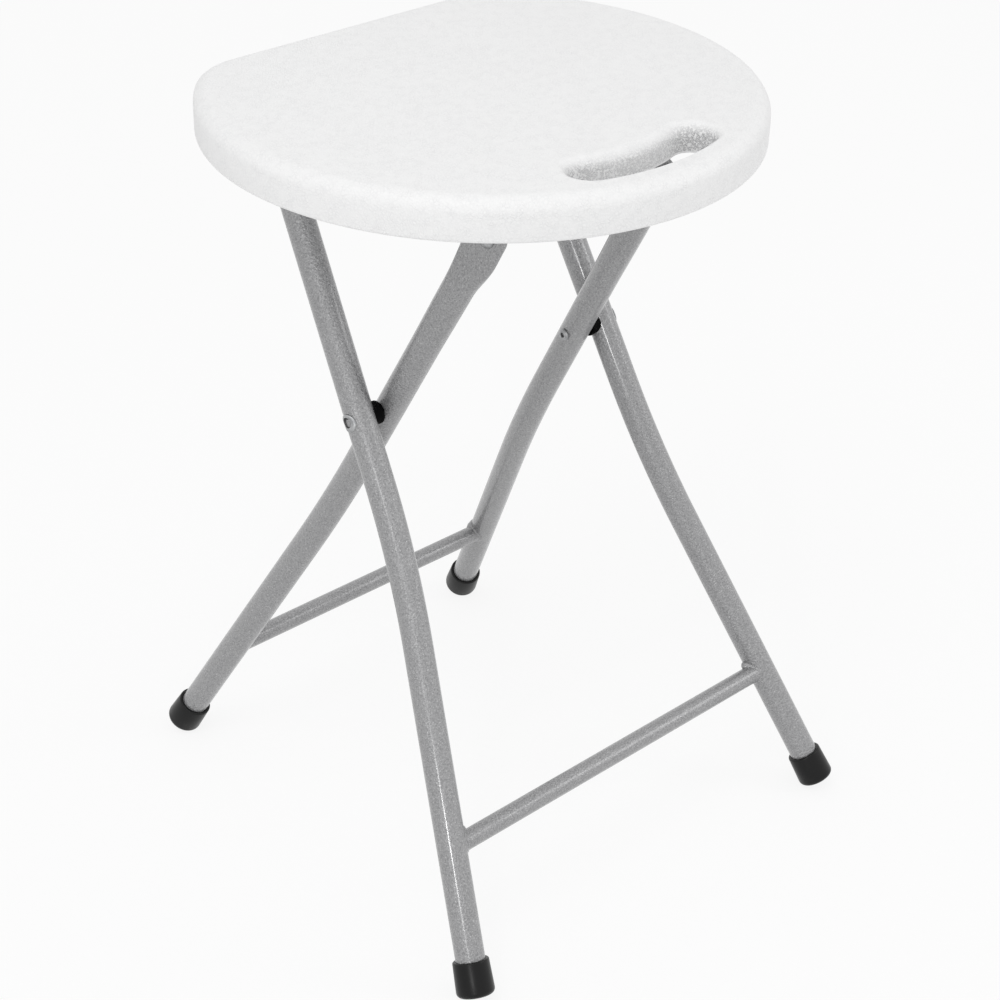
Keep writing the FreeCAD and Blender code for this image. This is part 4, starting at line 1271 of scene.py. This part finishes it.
@dataclass
class SeatShell:
    """The moulded seat: a flat top, a deep rounded rim, a recessed underside and a hand slot."""

    palette: Palette
    radius: float = 0.150
    corner_radius: float = 0.045
    top: float = 0.440
    thickness: float = 0.0225
    rim: float = 0.009
    recess: float = 0.0075
    top_round: float = 0.008
    bottom_round: float = 0.0016
    inner_round: float = 0.0012
    level: float = 0.0006
    slot_ring: float = 0.00205
    slot_width: float = 0.0215
    slot_half_length: float = 0.0475
    slot_lip: float = 0.007
    slot_outer_share: float = 0.52
    slot_bead: float = 0.0007
    dimple_circle: float = 0.046
    dimple_radius: float = 0.008
    dimple_depth: float = 0.008
    dimple_count: int = 8
    rod_inset: float = 0.0768
    hinge_inset: float = 0.0406
    rim_steps: int = 120
    round_steps: int = 12

    @property
    def hinge(self) -> Vector:
        """The middle of the hinge line."""
        return joint_place("seat_lift")

    @property
    def rod(self) -> Vector:
        """The middle of the rod that the seat's front rests on."""
        plan = INNER_LEGS
        return Vector((0.0, plan.pivot.y - (ROD_HEIGHT - plan.pivot.z) * math.tan(plan.lean), ROD_HEIGHT))

    @property
    def centre(self) -> Vector:
        """The middle of the seat's round edge, on the floor."""
        return Vector((0.0, self.rod.y + self.radius - self.rod_inset, 0.0))

    @property
    def back(self) -> float:
        """Distance from the middle of the round edge to the flat one."""
        return self.hinge.y + self.hinge_inset - self.centre.y

    @property
    def bottom(self) -> float:
        """Height of the rim's lower edge."""
        return self.top - self.thickness

    @property
    def ceiling(self) -> float:
        """Height of the recess's ceiling."""
        return self.bottom + self.recess

    @property
    def slot_radius(self) -> float:
        """Radius of the hand slot's middle line."""
        return self.radius - self.top_round - self.slot_ring - self.slot_lip - self.slot_width / 2

    @property
    def slot_half_angle(self) -> float:
        """Half of the angle that the slot's middle line spans."""
        return math.asin((self.slot_half_length - self.slot_width / 2) / self.slot_radius)

    def build(self) -> None:
        """Build the skin from stacked outlines joined by strips of faces."""
        work = Workpiece()
        edge = [self._outline(work, inset, height) for inset, height in self._edge_profile()]
        slot = [self._slot_outline(work, *ring) for ring in self._slot_profile()]
        work.bridge(*edge)
        work.bridge(*slot)
        work.fill(edge[0], slot[0])
        rims = [self._dimple(work, index) for index in range(self.dimple_count)]
        work.fill(edge[-1], slot[-1], *rims)
        work.finish("seat_moulding", self.palette, Slot.SEAT, Body.SEAT, ["seat_shell"], crease=50.0)

    @staticmethod
    def _quarter(steps: int) -> list[tuple[float, float]]:
        """Points of a quarter circle as (1 - sine, 1 - cosine)."""
        turns = [math.pi / 2 * step / steps for step in range(steps + 1)]
        return [(1 - math.sin(turn), 1 - math.cos(turn)) for turn in turns]

    def _edge_profile(self) -> list[tuple[float, float]]:
        """Insets and heights of the outlines, from the top over the rim to the recess's ceiling."""
        soft, low, inner = self.top_round, self.bottom_round, self.inner_round
        fine, coarse = self._quarter(self.round_steps), self._quarter(4)
        profile = [(soft + self.level, self.top)]
        profile += [(soft * out, self.top - soft * down) for out, down in fine]
        profile += [(low * down, self.bottom + low * out) for out, down in coarse]
        profile += [(self.rim - inner * out, self.bottom + inner * down) for out, down in coarse]
        profile += [(self.rim + inner * down, self.ceiling - inner * out) for out, down in coarse]
        return profile + [(self.rim + inner + self.level, self.ceiling)]

    def _slot_profile(self) -> list[tuple[float, float, float]]:
        """How far outside the slot's wall its outlines lie, inwards and outwards, and their heights."""
        lip, bead = self.slot_lip, self.slot_bead
        rings = [(lip + self.level, self.top)]
        rings += [(lip * out, self.top - lip * down) for out, down in self._quarter(self.round_steps)]
        profile = [(grow, grow * self.slot_outer_share, height) for grow, height in rings]
        foot = [(0.0, 0.75), (0.25, 1.0), (1.0, 1.0), (1.25, 0.75), (1.4, 0.0),
                (1.4 + self.level / bead, 0.0)]
        return profile + [(bead * out, bead * out, self.ceiling - bead * down) for out, down in foot]

    def _lay(self, work: Workpiece, start: Point, path: Sequence[Straight | Bend], height: float) -> Geometry:
        """Lay a closed outline round the seat's middle at a height."""
        loop = work.outline(start, path)
        work.place(beside(self.centre, z=height), verts_of(loop))
        return loop

    def _outline(self, work: Workpiece, inset: float, height: float) -> Geometry:
        """Lay the seat's outline: a circle with one flat side and rounded corners.

        Args:
            work: The mesh.
            inset: How far inside the seat's edge it runs.
            height: Its height above the floor.

        Returns:
            The closed outline.
        """
        corner_y = self.back - self.corner_radius
        half = math.sqrt((self.radius - self.corner_radius) ** 2 - corner_y ** 2)
        low = math.atan2(corner_y, half)
        path = [Straight((-2 * half, 0.0, 0.0), 20),
                Bend((-half, corner_y, 0.0), math.pi / 2 - low, steps=20),
                Bend(ORIGIN, math.pi + 2 * low, steps=self.rim_steps),
                Bend((half, corner_y, 0.0), math.pi / 2 - low, steps=20)]
        return self._lay(work, (half, self.back - inset, 0.0), path, height)

    def _slot_outline(self, work: Workpiece, grow: float, outer: float, height: float) -> Geometry:
        """Lay the hand slot's outline: an arc with round ends, let out all round.

        Args:
            work: The mesh.
            grow: How far outside the slot's wall it runs on the side of the seat's middle.
            outer: The same on the side of the seat's edge.
            height: Its height above the floor.

        Returns:
            The closed outline.
        """
        across, down = math.sin(self.slot_half_angle), math.cos(self.slot_half_angle)
        middle, inner = self.slot_radius - (grow - outer) / 2, self.slot_radius - self.slot_width / 2 - grow
        path = [stretch for way in (1, -1) for stretch in (
            Bend(ORIGIN, way * 2 * self.slot_half_angle, steps=30),
            Bend((way * middle * across, -middle * down, 0.0), -math.pi, steps=26))]
        return self._lay(work, (-inner * across, -inner * down, 0.0), path, height)

    def _dimple(self, work: Workpiece, index: int) -> Geometry:
        """Sink one dimple into the recess's ceiling and return its rim."""
        turn = math.tau * index / self.dimple_count
        middle = Vector((self.dimple_circle * math.cos(turn),
                         (self.rod.y + self.hinge.y) / 2 + self.dimple_circle * math.sin(turn), self.ceiling))
        soft, deep, radius = self.inner_round, 2 * self.inner_round, self.dimple_radius
        rings = [(radius + soft + self.level, 0.0)]
        rings += [(radius + soft * out, soft * down) for out, down in self._quarter(4)]
        rings += [(radius - deep * down, self.dimple_depth - deep * out) for out, down in self._quarter(4)]
        loops = [work.ring(reach, beside(middle, z=lift), 32) for reach, lift in rings]
        work.bridge(*loops)
        work.cap(loops[-1])
        return loops[0]


@dataclass
class SeatFittings:
    """The steel straps at the back, the moulded hooks at the front, and their screws."""

    palette: Palette
    shell: SeatShell
    strap_centre: float = 0.030
    strap_width: float = 0.020
    strap_thickness: float = 0.0015
    strap_flange: float = 0.016
    strap_inner: float = 0.00855
    strap_bend: float = 0.001
    strap_corner: float = 0.004
    strap_edge: float = 0.0003
    hook_centre: float = 0.036
    hook_width: float = 0.018
    hook_wall: float = 0.006
    hook_reach: float = 0.005
    hook_saddle: float = 0.012
    hook_flange: float = 0.013
    hook_flange_thickness: float = 0.003
    hook_inner: float = 0.0043
    hook_tip_round: float = 0.002
    hook_root_round: float = 0.0025
    hook_edge: float = 0.0007
    screw_radius: float = 0.0018
    screw_length: float = 0.0085
    screw_point: float = 0.003
    screw_turn: float = 0.7
    screw_head_radius: float = 0.004
    screw_face_radius: float = 0.003
    screw_head_height: float = 0.0022
    screw_rim: float = 0.0007
    recess_arm: float = 0.0019
    recess_half_width: float = 0.00045
    recess_depth: float = 0.0012

    def build(self) -> None:
        """Make the straps, the hooks and both sets of screws."""
        for side in Side:
            self._strap(side)
            self._hook(side)
        reach = self.strap_inner + self.strap_thickness + self.strap_flange / 2
        self._screws("strap", [(self.strap_centre, self.shell.hinge.y + end * reach) for end in (-1, 1)],
                     self.strap_thickness)
        front = -(self.hook_inner + self.hook_wall + self.hook_flange / 2)
        places = (front, self.hook_saddle + self.hook_flange / 2)
        self._screws("hook", [(self.hook_centre, self.shell.rod.y + place) for place in places],
                     self.hook_flange_thickness)

    def _strap(self, side: Side) -> None:
        """Bend one strap round the outer frame's top bar."""
        inner, thick, bend = self.strap_inner, self.strap_thickness, self.strap_bend
        along, root, quarter = self.strap_flange - bend, inner + thick + bend, math.pi / 2
        end, low = inner + thick + self.strap_flange, inner - thick - bend
        path = [stretch for way in (1, -1) for stretch in (
            Straight((0.0, 0.0, -way * thick)), Straight((0.0, -way * along, 0.0)),
            Bend((0.0, way * root, low), way * quarter, ACROSS, 4), Straight((0.0, 0.0, -low)),
            Bend(ORIGIN, -way * math.pi, ACROSS, 28), Straight((0.0, 0.0, low)),
            Bend((0.0, -way * root, low), way * quarter, ACROSS, 4), Straight((0.0, -way * along, 0.0)))]
        work = Workpiece()
        work.prism((-self.strap_width / 2, end, inner), path, self.strap_width)
        corners = [edge for edge in work.mesh.edges
                   if all(abs(abs(vert.co.y) - end) < 1e-6 for vert in edge.verts)
                   and abs(edge.verts[0].co.x - edge.verts[1].co.x) < 1e-6]
        work.bevel(corners, self.strap_corner, 6)
        work.soften(self.strap_edge)
        work.place(beside(self.shell.hinge, side.value * self.strap_centre))
        work.finish(f"strap_{side.word}", self.palette, Slot.STEEL, Body.SEAT,
                    [f"hinge_strap_{side.word}"])

    def _hook(self, side: Side) -> None:
        """Mould one hook, whose saddle follows the rod's sweep about the pivot."""
        rod, pivot = self.shell.rod, INNER_LEGS.pivot
        top, quarter = self.shell.ceiling - rod.z, math.pi / 2
        inner, wall = self.hook_inner, self.hook_inner + self.hook_wall
        tip, root, flange = self.hook_tip_round, self.hook_root_round, self.hook_flange_thickness
        low, rise, along = tip - self.hook_reach, top - flange - root, self.hook_flange - root
        centre = (0.0, pivot.y - rod.y, pivot.z - rod.z)
        sweep = (rod - pivot).length + inner
        angles = [math.acos((place - centre[1]) / sweep) for place in (-inner, self.hook_saddle)]
        first, last = (centre[2] + sweep * math.sin(angle) for angle in angles)
        tail, nose = self.hook_saddle + self.hook_flange, wall + self.hook_flange
        path = [Bend((0.0, -inner - tip, low), quarter, ACROSS, 5), Straight((0.0, 0.0, first - low)),
                Bend(centre, angles[1] - angles[0], ACROSS, 8), Straight((0.0, 0.0, rise - last)),
                Bend((0.0, self.hook_saddle + root, rise), -quarter, ACROSS, 5), Straight((0.0, along, 0.0)),
                Straight((0.0, 0.0, flange)), Straight((0.0, -tail - nose, 0.0)),
                Straight((0.0, 0.0, -flange)), Straight((0.0, along, 0.0)),
                Bend((0.0, -wall - root, rise), -quarter, ACROSS, 5), Straight((0.0, 0.0, low - rise)),
                Bend((0.0, -wall + tip, low), quarter, ACROSS, 5),
                Straight((0.0, self.hook_wall - 2 * tip, 0.0))]
        work = Workpiece()
        work.prism((-self.hook_width / 2, -inner - tip, -self.hook_reach), path, self.hook_width)
        work.soften(self.hook_edge)
        work.place(beside(rod, side.value * self.hook_centre))
        work.finish(f"hook_{side.word}", self.palette, Slot.SEAT, Body.SEAT,
                    [f"front_hook_{side.word}"])

    def _screws(self, kind: str, spots: Sequence[tuple[float, float]], flange: float) -> None:
        """Drive one set of screws up through a kind of flange on both sides.

        Args:
            kind: What they hold.
            spots: Their places on the right side, as X and Y.
            flange: How thick the flange is.
        """
        work = Workpiece()
        rim = self.screw_face_radius - self.screw_rim
        length, radius, height = self.screw_length, self.screw_radius, self.screw_head_height
        corners = [(0.0, -length, 0.0), (radius, self.screw_point - length, 0.0), (radius, 0.0, 0.0),
                   (self.screw_head_radius, 0.0, 0.0003), (self.screw_face_radius, height, 0.0006),
                   (rim, height, 0.0)]
        arm, half = self.recess_arm, self.recess_half_width
        arms = [Matrix.Rotation(math.pi / 2 * turn, 3, "Z") @ Vector(corner) for turn in range(4)
                for corner in ((arm, -half, 0.0), (arm, half, 0.0), (half, half, 0.0))]
        for index, (side, (x, y)) in enumerate((side, spot) for side in Side for spot in spots):
            place = (Matrix.Translation((side.value * x, y, self.shell.ceiling - flange))
                     @ Matrix.Rotation(math.pi, 4, "X") @ Matrix.Rotation(self.screw_turn * index, 4, "Z"))
            work.turned(corners, place, segments=32)
            face = place @ Matrix.Translation((0.0, 0.0, height))
            cross = work.strip([face @ corner for corner in arms])
            work.fill(work.ring(rim, face, 32), cross)
            inward = face.to_3x3() @ Vector((0.0, 0.0, -self.recess_depth))
            work.cap(work.follow(cross, [Straight(inward)]))
        work.finish(f"screws_{kind}", self.palette, Slot.STEEL, Body.SEAT, [f"{kind}_screws"])


def main() -> None:
    """Build the studio and every piece of the stool."""
    logging.basicConfig(level=logging.INFO, format="%(name)s: %(message)s")
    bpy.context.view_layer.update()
    palette = Palette()
    Studio().build()
    OuterFrame(palette).build()
    InnerFrame(palette).build()
    Pivot(palette).build()
    shell = SeatShell(palette)
    shell.build()
    SeatFittings(palette, shell).build()


if __name__ == "__main__":
    main()
